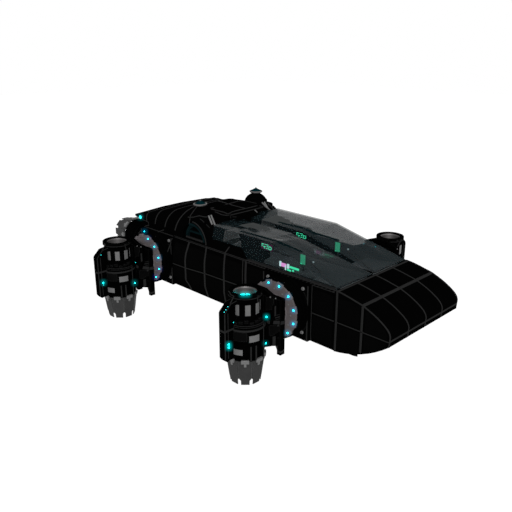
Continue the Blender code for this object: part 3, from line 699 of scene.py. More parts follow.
class HOVERCRAFT_OT_side_panels(CraftOperator, bpy.types.Operator):
    """Lay the inset panels between the seams, a shade greyer as painted light on the sides"""

    bl_idname = "hovercraft.side_panels"
    bl_label = "Side panels"
    ROWS = 6
    HALF_THICKNESS = 0.003

    def make(self, looks):
        side = skin("hull_side_right", "nose")
        shape = Shape()
        for x0, x1 in ((-0.505, -0.06), (-2.16, -1.71), (-2.78, -2.34), (-3.35, -2.86), (-3.90, -3.43),
                       (-4.42, -3.98), (0.06, 0.51)):
            for z0, z1, trim in ((0.07, 0.53, 0.04), (0.615, 1.04, -0.04)):
                self.patch(shape, side, x0, x1, z0, z1, trim)
        nose_low = [(0.62, 0.53), (0.62, 0.22), (0.70, 0.24), (0.85, 0.32), (1.00, 0.43), (1.06, 0.53)]
        nose_high = [(0.62, 0.60), (1.06, 0.60), (1.06, 0.68), (1.00, 0.77), (0.90, 0.85), (0.78, 0.92),
                     (0.66, 0.97), (0.62, 0.95)]
        for outline in (nose_low, nose_high):
            shape.prism(outline, -HULL_HALF + 0.002, -HULL_HALF - 0.003)
        # The greyer panel coating is painted light: it makes the sides read lighter than the top
        shape.twinned("side_panels", paint="painted_sidelight_coating")

    def patch(self, shape, side, x0, x1, z0, z1, trim):
        """A thin plate that follows the side, with two corners cut. Above the waist the trim is negative."""
        steps = self.ROWS
        verts, faces = [], []
        for level in (-self.HALF_THICKNESS, self.HALF_THICKNESS):
            for i in range(steps + 1):
                for j in range(steps + 1):
                    x = x0 + (x1 - x0) * i / steps
                    cut = abs(trim) * max(0.0, abs(2 * i / steps - 1) - 0.6)
                    low, up = (z0 + cut, z1) if trim > 0 else (z0, z1 - cut)
                    z = low + (up - low) * j / steps
                    landed = drape(side, [(x, -1, z)], INWARD)
                    hit, normal = landed[0] if landed else (Vector((x, -HULL_HALF, z)), OUT)
                    verts.append(hit + normal * level)
        half = (steps + 1) ** 2
        across = steps + 1
        for i in range(steps):
            for j in range(steps):
                a = i * across + j
                faces += [(a, a + 1, a + across + 1, a + across),
                          (half + a, half + a + across, half + a + across + 1, half + a + 1)]
        rim = ([i * across for i in range(across)] + [steps * across + j for j in range(1, across)]
               + [i * across + steps for i in range(steps - 1, -1, -1)] + list(range(steps - 1, 0, -1)))
        for a, b in zip(rim, rim[1:] + rim[:1]):
            faces.append((a, b, half + b, half + a))
        shape.add(verts, faces)


class HOVERCRAFT_OT_canopy_seal(CraftOperator, bpy.types.Operator):
    """Lay the lattice seal along the canopies' feet"""

    bl_idname = "hovercraft.canopy_seal"
    bl_label = "Canopy seal"

    def make(self, looks):
        rails = Shape()
        top_y, low_y = -1.083, -1.103
        for y, z in ((top_y, 1.156), (low_y, 1.108)):
            rails.tube([(-0.03, y, z), (-2.20, y, z)], 0.007, 6)
        rails.twinned("canopy_seal_rails")
        facing = Vector((0, -1, 0.35)).normalized()
        spots = [(Vector((x, (top_y + low_y) / 2 - 0.006, 1.132)), facing, FORE) for x in (-2.20, -0.04)]
        for side, sign in SIDES.items():
            repeat(f"canopy_seal_bars_{side}", hatch_bar(), on_hull_side(spots, sign), "hull",
                   "seam_rubber", spacing=looks.hatch_pitch)


class HOVERCRAFT_OT_deck_ribs(CraftOperator, bpy.types.Operator):
    """Lay the ribs over the rear deck and the cabin's roof"""

    bl_idname = "hovercraft.deck_ribs"
    bl_label = "Deck ribs"

    def make(self, looks):
        deck = skin("rear_deck", "aft_cabin")
        shape = Shape()
        for x, lean, width in ((-4.450, 0.0, 0.034), (-4.796, DECK_LEAN, 0.028), (-5.148, DECK_LEAN, 0.028),
                               (-5.440, DECK_LEAN, 0.028)):
            spots = []
            for across, rise in arc((0, 0), 1.0, 6, 174, 60):
                way = Vector((-lean * rise, across, rise))
                hit, normal, _, _ = deck.ray_cast(Vector((x, 0, BELT_Z)) + way * 3, -way)
                if hit is not None and abs(hit.y) < HULL_HALF + 0.01:
                    spots.append((hit, normal if normal.dot(way) > 0 else -normal))
            shape.strip(spots, width, looks.seam_height)
        shape.finish("deck_ribs")
        lip = Shape()
        lip.tube([(-5.41, -1.098, 1.262), (-5.658, -1.098, 1.287), (-5.85, -1.098, 1.308),
                  (-5.925, -1.096, 1.335)], 0.008, 6)
        lip.twinned("deck_lip_trim")


class HOVERCRAFT_OT_roof(CraftOperator, bpy.types.Operator):
    """Run the grid over the roof panel and the lines on its front face"""

    bl_idname = "hovercraft.roof"
    bl_label = "Roof grid"

    def make(self, looks):
        roof = skin("roof_panel", "aft_cabin", "rear_deck")
        shape = Shape()
        for width, *line in (
                (0.026, (-3.99, -0.445), (-3.93, -0.37), (-3.92, -0.19), (-3.97, 0.05), (-4.00, 0.39),
                 (-3.95, 0.60)),
                (0.026, (-3.41, -0.49), (-3.37, -0.38), (-3.375, -0.20), (-3.362, 0.03), (-3.352, 0.22),
                 (-3.37, 0.54)),
                (0.028, (-3.93, -0.479), (-3.76, -0.480), (-3.52, -0.465), (-3.405, -0.485)),
                (0.022, (-3.72, -0.556), (-3.50, -0.568), (-3.352, -0.520)),
                (0.028, (-3.362, 0.005), (-3.78, 0.002), (-3.975, 0.048), (-4.32, 0.14), (-4.43, 0.17)),
                (0.024, (-3.92, 0.575), (-3.78, 0.595), (-3.66, 0.64))):
            shape.strip(drape(roof, [(x, y, 1) for x, y in line], DOWN, 0.06), width, 0.008)
        # The lower of the double lines runs along the roof's front face
        shape.tube([(-3.355, -0.512, 1.712), (-3.328, -0.44, 1.712), (-3.328, 0.36, 1.704), (-3.34, 0.52, 1.706)],
                   0.012)
        for line in ([(-3.328, -0.470, 1.690), (-3.328, -0.463, 1.648)],
                     [(-3.328, -0.410, 1.664), (-3.328, -0.300, 1.640)]):
            shape.tube(line, 0.009, 6)
        shape.finish("roof_grid")


class HOVERCRAFT_OT_cabin_trim(CraftOperator, bpy.types.Operator):
    """Trim the cabin's arches, domes and beacons"""

    bl_idname = "hovercraft.cabin_trim"
    bl_label = "Cabin trim"

    def make(self, looks):
        shape = Shape()
        shape.tube([(x, -1.099, z) for x, z in arc((-3.83, 1.166), 0.43, 2, 88, 24)], 0.012)
        # Lines of the dome: down its side, round its foot, and the folds behind the arch
        for radius, *line in (
                (0.011, (-3.877, -0.916, 1.873), (-3.871, -1.024, 1.795), (-3.918, -1.068, 1.703),
                 (-3.921, -1.099, 1.543)),
                (0.011, (-4.046, -1.034, 1.640), (-3.925, -1.080, 1.668), (-3.808, -1.070, 1.694),
                 (-3.702, -1.008, 1.733), (-3.618, -0.931, 1.708), (-3.595, -0.870, 1.701)),
                (0.007, (-3.673, -1.015, 1.678), (-3.606, -0.956, 1.598)),
                (0.007, (-3.593, -0.913, 1.546), (-3.481, -0.918, 1.499))):
            shape.tube(line, radius)
        shape.block((-4.10, -1.07, 1.19), (-3.56, -1.03, 1.225))
        shape.twinned("cabin_trim")
        port = Shape()
        port.lathe([(0.335, 1.080), (0.395, 1.080), (0.395, 1.094), (0.388, 1.099), (0.342, 1.099), (0.335, 1.094)],
                   28, turned((-3.83, 0, 1.166), 90, "X"), 8, 100)
        port.twinned("port_arcs", paint="teal_panel")
        pair = Shape()
        for low, high in (((-3.478, -0.849, 1.556), (-3.600, -0.838, 1.722)),
                          ((-3.408, -0.830, 1.548), (-3.604, -0.769, 1.722))):
            low, high = Vector(low), Vector(high)
            ahead = (high - low).normalized()
            out = Vector((0.75, -0.45, 0.5))
            out = (out - ahead * out.dot(ahead)).normalized()
            pair.strip([(low, out), (high, out)], 0.034, 0.006, 0.02)
        pair.twinned("cabin_light_bars", paint="diffuser")
        bar = Shape()
        bar.strip([(Vector((-3.328, 0.236, 1.710)), FORE), (Vector((-3.328, 0.328, 1.620)), FORE)], 0.024, 0.006)
        bar.finish("cabin_low_bar", paint="diffuser")
        rim = Shape()
        place = Matrix.Translation((DOME_CENTRE.x, -DOME_CENTRE.y, DOME_CENTRE.z + 0.29))
        rim.lathe([(0.09, -0.002), (0.112, 0.000), (0.143, 0.018), (0.148, 0.030), (0.147, 0.042), (0.122, 0.052),
                   (0.10, 0.04)], 32, place)
        rim.lathe([(0.0, 0.100), (0.018, 0.100), (0.014, 0.122), (0.0, 0.124)], 12, place)
        rim.twinned("beacon_rims", paint="duct_metal")


class HOVERCRAFT_OT_canopy_frames(CraftOperator, bpy.types.Operator):
    """Frame each canopy, lay a dark teal band along its shoulder and grey patches of painted reflection on its rear
    """

    bl_idname = "hovercraft.canopy_frames"
    bl_label = "Canopy frames"

    def make(self, looks):
        foot_z = BELT_Z + 0.014
        inner, outer = COCKPIT_Y - 0.51, COCKPIT_Y + 0.51
        for side, sign in SIDES.items():
            canopy = skin(f"canopy_{side}")
            # Both canopies are alike, so the port one's lines are the starboard one's moved over
            shift = 0.0 if sign < 0 else 2 * COCKPIT_Y
            frames, band, film = Shape(), Shape(), Shape()
            for x0, y0, x1, y1, radius in ((-0.03, outer, -2.18, outer, 0.010), (-0.03, inner, -0.03, outer, 0.012),
                                           (-0.03, inner, -3.28, inner, 0.010)):
                frames.tube([(x0, sign * y0, foot_z), (x1, sign * y1, foot_z)], radius)
            for shape, line, spacing, width in (
                    (frames, ((-0.84, -0.818), (-0.42, -0.945), (-0.05, -1.045)), 0.1, 0.014),
                    (band, ((-2.62, -0.85), (-1.95, -0.83), (-1.62, -0.83), (-1.15, -0.66)), 0.15, 0.070)):
                shape.strip(drape(canopy, [(x, shift + y, 1) for x, y in line], DOWN, spacing), width, 0.003, 0.001)
            # Grey patches on the rear of the canopy's top: a painted reflection in the glass
            for x0, x1, y0, y1 in ((-2.98, -2.73, 0.14, 0.56), (-2.735, -2.48, 0.14, 0.50),
                                   (-2.485, -2.33, 0.22, 0.42)):
                middle = (y0 + y1) / 2 * sign
                film.strip(drape(canopy, [(x0, middle, 1), (x1, middle, 1)], DOWN, 0.15), y1 - y0, 0.002, 0.001)
            for shape, name, paint in ((frames, "frame", "seam_rubber"), (band, "band", "teal_panel"),
                                       (film, "film", "painted_glass_reflection")):
                shape.finish(f"canopy_{name}_{side}", f"canopy_{side}", "tinted_glass", paint)


class HOVERCRAFT_OT_seats(CraftOperator, bpy.types.Operator):
    """Make the padded seats"""

    bl_idname = "hovercraft.seats"
    bl_label = "Seats"
    SWOLLEN = {}
    CHANNEL_WIDTH = 0.007
    CHANNEL_DEPTH = 0.012

    def make(self, looks):
        for side, sign in SIDES.items():
            y = sign * COCKPIT_Y
            pads = [self.pad(f"{role}_{side}", (x0, y - wide, z0), (x1, y + wide, z1), taper)
                    for role, wide, x0, x1, z0, z1, taper in (
                        ("seat_cushion", 0.235, -3.05, -2.55, 0.37, 0.47, 1.0),
                        ("seat_back", 0.235, -3.235, -3.095, 0.46, 1.17, 1.0),
                        ("headrest", 0.25, -3.27, -3.155, 1.20, 1.47, 0.72))]
            shell = Shape()
            shell.block((-3.03, y - 0.20, 0.083), (-2.68, y + 0.20, 0.36))
            for outline in ([(-3.06, 0.33), (-2.54, 0.33), (-2.53, 0.39), (-3.08, 0.39)],
                            [(-3.25, 0.34), (-3.20, 0.34), (-3.235, 1.25), (-3.28, 1.25)]):
                shell.prism(outline, y - 0.25, y + 0.25)
            shell = shell.finish(f"seat_shell_{side}", "hull", "seat_grey", "black_plastic")
            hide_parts(f"seat_{side}")
            straps = Shape()
            facing = Vector((1, 0, 0.15)).normalized()
            for offset in (-0.09, 0.09):
                straps.strip([(Vector((x, y + offset, z)), facing) for x, z in
                              ((-3.088, 1.16), (-3.080, 0.90), (-3.078, 0.60), (-3.06, 0.50))], 0.045, 0.005)
            straps.finish(f"harness_{side}", "hull", "seat_grey", "console_plastic")

    def pad(self, name, low, high, taper):
        """A crowned cushion with sides that pull in, from its box, blown up as cloth and sewn."""
        low, high = Vector(low), Vector(high)
        middle, half = (low + high) / 2, (high - low) / 2
        axis = min(range(3), key=lambda i: half[i])
        first, second = [i for i in range(3) if i != axis]
        bm = bmesh.new()
        bmesh.ops.create_cube(bm, size=2.0)
        bmesh.ops.subdivide_edges(bm, edges=bm.edges, cuts=11, use_grid_fill=True)
        for vert in bm.verts:
            a, b = abs(vert.co[first]), abs(vert.co[second])
            fall, corner = max(a, b), min(a, b)
            vert.co[axis] *= 1 - 0.72 * fall ** 5
            for i in (first, second):
                vert.co[i] *= 1 - 0.05 * (1 - corner ** 2) * fall ** 3
            vert.co[1] *= 1 - (1 - taper) * (vert.co[2] + 1) / 2
            # Smaller than its box, since it swells
            vert.co = middle + Vector(vert.co[i] * (half[i] - 0.008) for i in range(3)) + ORIGIN
        bmesh.ops.recalc_face_normals(bm, faces=bm.faces)
        mesh = bpy.data.meshes.new(name)
        bm.to_mesh(mesh)
        bm.free()
        mesh = self.swollen(name, mesh)
        centre = middle + ORIGIN
        for vert in mesh.vertices:
            a, b = ((vert.co[i] - centre[i]) / half[i] for i in (first, second))
            # Sewn channels: one down the middle and two across
            dent = max(exp(-((at - line) * half[i] / self.CHANNEL_WIDTH) ** 2)
                       for at, line, i in ((a, 0.0, first), (b, -0.4, second), (b, 0.4, second)))
            inside = max(0.0, 1 - max(abs(a), abs(b)) ** 6)
            vert.co[axis] -= self.CHANNEL_DEPTH * dent * inside * (1 if vert.co[axis] > centre[axis] else -1)
            # The cushion keeps to the space of its solid
            for i in range(3):
                vert.co[i] = min(max(vert.co[i], centre[i] - half[i] - CUSHION_PROUD),
                                 centre[i] + half[i] + CUSHION_PROUD)
        return carry(name, mesh, "hull", "seat_cloth")

    def swollen(self, name, mesh):
        """The swollen mesh. The port seat's is the starboard one moved over, since the cockpits are alike."""
        role = name.rsplit("_", 1)[0]
        if role not in self.SWOLLEN:
            self.SWOLLEN[role] = self.blow_up(mesh)
            return self.SWOLLEN[role].copy()
        copy = self.SWOLLEN[role].copy()
        copy.name = name
        copy.transform(Matrix.Translation((0, 2 * COCKPIT_Y, 0)))
        return copy

    def blow_up(self, mesh):
        """The mesh after a short cloth simulation, with no vertex moved further than the cap."""
        scene = bpy.context.scene
        piece = bpy.data.objects.new("swelling", mesh)
        scene.collection.objects.link(piece)
        remesh = piece.modifiers.new("remesh", "REMESH")
        remesh.mode = "VOXEL"
        remesh.voxel_size = 0.006
        graph = bpy.context.evaluated_depsgraph_get()
        even = bpy.data.meshes.new_from_object(piece.evaluated_get(graph))
        piece.modifiers.clear()
        piece.data = even
        start = [v.co.copy() for v in even.vertices]
        cloth = piece.modifiers.new("cloth", "CLOTH")
        cloth.settings.use_pressure = True
        cloth.settings.uniform_pressure_force = 4.0
        cloth.settings.effector_weights.gravity = 0.0
        cloth.point_cache.frame_start, cloth.point_cache.frame_end = 1, 20
        for number in range(1, 21):
            scene.frame_set(number)
        graph = bpy.context.evaluated_depsgraph_get()
        blown = bpy.data.meshes.new_from_object(piece.evaluated_get(graph))
        bpy.data.objects.remove(piece, do_unlink=True)
        scene.frame_set(1)
        for vert, old in zip(blown.vertices, start):
            move = vert.co - old
            if move.length > CUSHION_SWELL:
                vert.co = old + move.normalized() * CUSHION_SWELL
        return blown


class HOVERCRAFT_OT_controls(CraftOperator, bpy.types.Operator):
    """Fit the screens, keys and levers of both cockpits"""

    bl_idname = "hovercraft.controls"
    bl_label = "Cockpit controls"

    def make(self, looks):
        screens, bezels, halo, pink, white, dark = (Shape() for _ in range(6))
        bezels.block((-2.770, -0.125, 1.025), (-2.405, -0.075, 1.185))
        halo.block((-2.752, -0.128, 1.036), (-2.423, -0.120, 1.172))
        for x0, x1, z0, z1 in ((-2.737, -2.660, 1.140, 1.156), (-2.735, -2.717, 1.090, 1.140),
                               (-2.640, -2.540, 1.142, 1.156), (-2.700, -2.620, 1.092, 1.106),
                               (-2.668, -2.652, 1.050, 1.092), (-2.620, -2.560, 1.060, 1.074),
                               (-2.540, -2.522, 1.056, 1.130), (-2.522, -2.462, 1.116, 1.130),
                               (-2.522, -2.462, 1.056, 1.070), (-2.470, -2.452, 1.070, 1.116),
                               (-2.590, -2.560, 1.100, 1.126)):
            screens.block((x0, -0.133, z0), (x1, -0.122, z1))
        for x0, x1, z0, z1 in ((-2.400, -2.255, 1.046, 1.076), (-2.204, -1.952, 1.030, 1.062)):
            dark.block((x0, -0.125, z0), (x1, -0.100, z1))
        # The screen that stands free on a post
        turn = turned((-1.50, -0.22, 1.125), 6, "Z")
        bezels.block((-0.070, -0.016, -0.115), (0.070, 0.020, 0.115), turn)
        screens.block((-0.058, -0.024, -0.100), (0.058, -0.014, 0.100), turn)
        bezels.tube([(-1.50, -0.21, 1.02), (-1.50, -0.21, 0.86)], 0.018)
        # Levers and keys, along the shelf and on its front edge
        for shape, low, high in (
                (white, (-2.072, -0.300, 0.860), (-2.028, -0.275, 0.965)),
                (pink, (-2.035, -0.290, 0.862), (-1.905, -0.262, 0.935)),
                (white, (-1.906, -0.312, 0.798), (-1.876, -0.298, 0.915)),
                (white, (-1.850, -0.316, 0.869), (-1.800, -0.290, 0.962)),
                (screens, (-1.815, -0.275, 0.874), (-1.575, -0.250, 0.912)),
                (screens, (-1.850, -0.310, 0.822), (-1.745, -0.298, 0.856)),
                (screens, (-1.715, -0.310, 0.836), (-1.665, -0.298, 0.872)),
                (white, (-1.850, -0.310, 0.790), (-1.800, -0.298, 0.812)),
                (pink, (-0.60, -0.065, 1.07), (-0.54, -0.060, 1.09)),
                (white, (-1.225, -0.275, 1.135), (-1.195, -0.250, 1.165))):
            shape.block(low, high)
        for shape, name, paint in (
                (screens, "screens", "screen"), (bezels, "screen_bezels", "black_plastic"),
                (halo, "screen_halos", "key_halo"), (pink, "pink_keys", "key_pink"),
                (white, "white_keys", "key_white"), (dark, "console_slots", "black_plastic")):
            shape.twinned(name, "console_grey", paint, Matrix.Translation((0, 2 * COCKPIT_Y, 0)))


class HOVERCRAFT_OT_pads(CraftOperator, bpy.types.Operator):
    """Dress the mount pads with their screws, plates and straps"""

    bl_idname = "hovercraft.pads"
    bl_label = "Mount pads"

    def make(self, looks):
        plates, straps = Shape(), Shape()
        face = -PAD_FACE_Y
        edge = 0.545
        for x in POD_XS.values():
            for way in (1, -1):
                outline = arc((0, PIVOT_Z), 0.60, -40, 40, 16) + arc((0, PIVOT_Z), 0.515, 40, -40, 16)
                plates.prism([(x + way * px, pz) for px, pz in outline if px < edge], face + 0.002, face - 0.010)
                straps.strip([(Vector((x + way * edge, face, z)), OUT) for z in (0.04, 1.10)], 0.026, 0.006)
        for line in ([(-1.092, -1.119, 1.125), (-1.06, -1.19, 1.13), (-0.985, -1.30, 1.12), (-0.919, -1.411, 1.118)],
                     [(-4.805, -1.360, 1.100), (-4.980, -1.166, 1.132), (-4.831, -1.100, 1.205)],
                     [(-4.472, -1.150, 1.102), (-4.478, -1.192, 1.050), (-4.478, -1.194, 0.994),
                      (-4.514, -1.268, 0.801)],
                     [(-0.586, -1.445, 0.710), (-0.560, -1.300, 0.650), (-0.537, -1.190, 0.618)]):
            straps.tube(line, 0.012)
        plates.twinned("pad_plates", paint="pod_plate")
        straps.twinned("pad_straps")
        screws = [(Vector((POD_XS[end] + dx, face, z)), OUT, FORE) for end, dx, z in (
            ("front", -0.42, 1.027), ("front", -0.42, 0.174), ("front", 0.44, 1.027), ("front", 0.44, 0.174),
            ("rear", -0.42, 0.174), ("rear", 0.50, 1.043), ("rear", 0.50, 0.185))]
        lamps = [(Vector((POD_XS["rear"] - 0.425, face, z)), OUT, FORE) for z in (1.052, 1.005)]
        for side, sign in SIDES.items():
            for name, item, spots, paint in (("screws", screw_head(0.034, 0.028), screws, "zinc"),
                                             ("lamps", lamp_dome(0.014), lamps, "small_lamp")):
                repeat(f"pad_{name}_{side}", item, on_hull_side(spots, sign), "hull", paint)


class HOVERCRAFT_OT_rings(CraftOperator, bpy.types.Operator):
    """Fit the pivot rings' blocks, sleeves, lamps, teeth and bolts"""

    bl_idname = "hovercraft.rings"
    bl_label = "Pivot rings"

    def make(self, looks):
        hub = Vector((0, -RING_FACE_Y, PIVOT_Z))
        tooth = Shape()
        tooth.block((-0.014, -0.012, -0.05), (0.018, 0.012, 0.012))
        bolts = [(hub + spoke(30 + 30 * k) * 0.40, OUT, spoke(30 + 30 * k)) for k in range(12)]
        teeth = [(hub + INWARD * 0.02 + spoke(10 * k) * 0.262, OUT, spoke(10 * k)) for k in range(36)]
        for tag, x, sign in PODS:
            place = pod_place(x, sign)
            blocks, sleeve = Shape(), Shape()
            for k in range(12):
                blocks.block((0.475, hub.y - 0.012, -0.075), (0.552, hub.y + 0.03, 0.075),
                             turned((0, 0, PIVOT_Z), -15 - 30 * k, "Y"), 0.008)
            blocks.tube([(px, hub.y - 0.006, pz) for px, pz in arc((0, PIVOT_Z), 0.30, 0, 360, 48)], 0.014)
            blocks.finish(f"ring_blocks_{tag}", "hull", "ring_grey", "ring_casting", place)
            profile = [(0.535, 1.190), (0.576, 1.190), (0.576, 1.215), (0.570, 1.225), (0.570, 1.262),
                       (0.576, 1.272), (0.576, 1.300), (0.570, 1.310), (0.570, 1.348)]
            # The port sleeves stop short and leave the ring's edge bare
            profile += ([(0.576, 1.358), (0.576, 1.385), (0.570, 1.395), (0.570, 1.445), (0.535, 1.450)]
                        if sign < 0 else [(0.535, 1.352)])
            sleeve.lathe(profile, 72, turned((0, 0, PIVOT_Z), 90, "X"))
            sleeve.finish(f"ring_boot_{tag}", "hull", "ring_grey", "hull_coating", place)
            # No lamp where the barrel's saddle hides the ring
            dark = (135,) if tag.startswith("front") else (105, 135)
            lamps = [(hub + OUT * 0.012 + spoke(degrees) * 0.500, OUT, spoke(degrees))
                     for degrees in range(15, 360, 30) if degrees not in dark]
            if sign > 0:
                lamps += [(hub + INWARD * 0.035 + spoke(degrees) * 0.552, spoke(degrees), INWARD)
                          for degrees in (75, 105)]
            for name, item, spots, paint in (("lamps", lamp_dome(0.016), lamps, "small_lamp"),
                                             ("bolts", screw_head(0.018, 0.012), bolts, "zinc"),
                                             ("teeth", tooth, teeth, "ring_casting")):
                repeat(f"ring_{name}_{tag}", item, spots, "hull", paint, place)


class HOVERCRAFT_OT_pods(CraftOperator, bpy.types.Operator):
    """Fit the bands, windows, pipes and lamps of the four pods"""

    bl_idname = "hovercraft.pods"
    bl_label = "Pods"

    def make(self, looks):
        bands, plates, windows = Shape(), Shape(), Shape()
        axis = (0, -POD_Y, 0)
        place = Matrix.Translation(axis)
        # Belt band: along the pylon, round the barrel and onto the blade
        for begin, sweep, z, height, radius in ((-88, 130, 0.552, 0.036, 0.349), (-84, 112, 0.640, 0.012, 0.338),
                                                (-84, 112, 0.612, 0.010, 0.344), (92, 176, 0.552, 0.036, 0.349)):
            low, high = z - height / 2, z + height / 2
            bands.lathe([(radius - 0.02, low), (radius + 0.006, low + 0.003), (radius + 0.006, high - 0.003),
                         (radius - 0.02, high)], 24, place, begin, sweep)
        bands.block((-0.071, -2.746, 0.554), (0.071, -2.738, 0.594))
        for way in (1, -1):
            self.dress_pylon(bands, plates, way)
            bands.block((way * 0.068 - 0.006, -2.744, 0.56), (way * 0.068 + 0.006, -2.53, 0.600))
            for y, radius in ((-2.735, 0.010), (-2.665, 0.006)):
                bands.tube([(way * 0.067, y, 0.06), (way * 0.067, y, 0.90)], radius, 6)
            bands.tube([(way * 0.066, -2.735, 0.90), (way * 0.066, -2.60, 1.045), (way * 0.066, -2.46, 1.065)],
                       0.007, 6)
            (seam_x, seam_y), = arc((0, -POD_Y), 0.346, 21 if way > 0 else 159, 0, 1)[:1]
            bands.tube([(seam_x, seam_y, z) for z in (-0.02, 0.10, 0.45, 0.62)], 0.008, 6)
            bands.tube([(way * x, y, z) for x, y, z in ((0.254, -2.059, 1.142), (0.293, -2.194, 1.136),
                                                        (0.262, -2.160, 1.060), (0.236, -2.125, 0.970))], 0.011)
        bands.tube([(-0.153, -2.438, 1.166), (-0.039, -2.491, 1.155), (0.033, -2.491, 1.146), (0.058, -2.598, 1.056)],
                   0.011)
        # The trim line under the intake's rim, and short ribs down the barrel
        bands.lathe([(0.284, 1.104), (0.296, 1.106), (0.296, 1.114), (0.284, 1.116)], 48, place)
        for degrees in (-28, -12, 152, 168):
            foot, _, _ = around(axis, BARREL_R + 0.004, 0, degrees)
            bands.tube([foot + UP * z for z in (0.26, 0.16, 0.05, -0.01)], 0.014)
        # Steps above the shoulder
        for k in range(6):
            plates.block((0.29, -0.035, 0.66 + 0.012 * (k % 3)), (0.335, 0.035, 0.70 + 0.02 * (k % 3)),
                         turned(axis, -75 + 17 * k, "Z"))
        # Pale windows on the barrel and in the neck's slots, and a dark arc under the band
        for shape, steps, begin, sweep, low, high, proud, bevel in (
                (windows, 10, -33, 32, 0.335, 0.460, 0.005, 0.003),
                (windows, 10, -80, 28, 0.093, 0.203, 0.005, 0.003),
                (windows, 10, 147, 32, 0.335, 0.460, 0.005, 0.003),
                (windows, 10, 100, 28, 0.093, 0.203, 0.005, 0.003),
                (plates, 12, -79, 40, 0.36, 0.525, 0.004, 0.0)):
            shape.lathe([(BARREL_R - 0.01, low), (BARREL_R + proud, low + bevel), (BARREL_R + proud, high - bevel),
                         (BARREL_R - 0.01, high)], steps, place, begin, sweep)
        for k in range(PETALS):
            windows.block((0.222, -0.047, 0.792), (0.2575, 0.047, 0.990),
                          turned(axis, SLOT_ANGLE + 360 / PETALS * k, "Z"))
        hexes = [(Vector((way * 0.252, -1.640, 0.150)), Vector((way, -0.18, 0)).normalized(), UP) for way in (1, -1)]
        studs = [(Vector((way * x, y, z)), FORE * way if x > 0.39 else OUT, UP)
                 for way in (1, -1) for x, y, z in ((0.314, -1.902, 1.040), (0.401, -1.868, 1.032))]
        for tag, x, sign in PODS:
            spot = pod_place(x, sign)
            for shape, name, paint in ((bands, "bands", "seam_rubber"), (plates, "plates", "pod_plate"),
                                       (windows, "windows", "diffuser")):
                shape.finish(f"{name}_{tag}", f"pod_{tag}", "pod_black", paint, spot)
            large, small = self.lamps(tag, axis)
            for name, item, spots, paint in (
                    ("pod_lamps", lamp_dome(looks.lamp_radius, 0.9), large, "lamp"),
                    ("pod_lamp_bezels", lamp_bezel(looks.lamp_radius), large, "pod_plate"),
                    ("pod_small_lamps", lamp_dome(0.008), small, "pin_lamp"),
                    ("pylon_screws", screw_head(0.03, 0.02), hexes, "pod_coating"),
                    ("pylon_studs", screw_head(0.012, 0.010), studs, "zinc")):
                repeat(f"{name}_{tag}", item, spots, f"pod_{tag}", paint, spot)

    def lamps(self, tag, axis):
        """Large and pin lamps of a pod. The rear pods have no large one on the pylon."""
        blade_x = 0.066
        pins = []
        if tag.startswith("front"):
            large = [around(axis, BARREL_R, 0.165, 42), (Vector((blade_x, -2.665, 0.329)), FORE, UP),
                     (Vector((blade_x, -2.665, 0.272)), FORE, UP), (Vector((0.234, -1.903, 0.646)), OUT, UP)]
            small = [(Vector((blade_x, -2.54, 0.695)), FORE, UP)]
            chamfer = Vector((0, -0.67, 0.74))
            pins = [(Vector((0.048, y, z)), chamfer, FORE)
                    for y, z in ((-2.644, 1.010), (-2.690, 0.969), (-2.726, 0.937))]
        else:
            large = [around(axis, BARREL_R, 0.224, 30), (Vector((blade_x, -2.649, 0.338)), FORE, UP)]
            small = [(Vector((0.212, -1.902, 0.638)), FORE, UP), (Vector((blade_x, -2.640, 0.283)), FORE, UP)]
        for group in (large, small):
            group += [(Vector((-p.x, p.y, p.z)), Vector((-n.x, n.y, n.z)), h) for p, n, h in group]
        if tag == "rear_right":
            pins = [(Vector((blade_x, -2.639, 0.956)), FORE, UP)]
        return large, small + pins

    def dress_pylon(self, bands, plates, way):
        """Facets, grips and bands of one side of the pylon."""
        def web(y):
            return 0.200 + (y + 1.96) / 0.21 * 0.030 if y < -1.75 else 0.230 + (y + 1.75) / 0.16 * 0.030

        def on_web(shape, outline, proud):
            shape.loft([[(way * (web(y) + out), y, z) for y, z in outline] for out in (-SINK, proud)])

        plates.prism([(way * x, z) for x, z in ((0.212, 1.012), (0.267, 1.023), (0.392, 1.026), (0.392, 0.925),
                                                (0.361, 0.900), (0.357, 0.820), (0.212, 0.765))], -1.906, -1.896)
        on_web(plates, [(-1.84, 0.45), (-1.61, 0.405), (-1.605, 0.27), (-1.68, 0.26), (-1.753, 0.224),
                        (-1.827, 0.247)], 0.005)
        bands.block((way * 0.235, -1.909, 0.528), (way * 0.300, -1.896, 0.590))
        bands.block((way * 0.396, -1.886, 0.70), (way * 0.404, -1.852, 0.89))
        for y0, y1, z0, z1 in ((-1.75, -1.69, 0.03, 0.204), (-1.655, -1.613, 0.378, 0.414),
                               (-1.70, -1.60, 0.551, 0.568), (-1.69, -1.60, 0.600, 0.608),
                               (-1.69, -1.60, 0.516, 0.524)):
            on_web(bands, [(y0, z0), (y1, z0), (y1, z1), (y0, z1)], 0.007)
        normal = Vector((way * 0.98, -0.18, 0)).normalized()
        bands.strip([(Vector((way * web(y), y, z)), normal) for y, z in ((-1.74, 0.482), (-1.595, 0.443))],
                    0.064, 0.007)
        bands.strip([(Vector((way * 0.286, y, z)), FORE * way) for y, z in ((-1.602, 0.440), (-1.495, 0.420))],
                    0.064, 0.007)
        bands.block((way * 0.225, -1.605, -0.165), (way * 0.290, -1.50, -0.125))
        bands.prism([(way * x, z) for x, z in ((0.160, -0.05), (0.225, -0.165), (0.225, -0.01))], -1.602, -1.585)


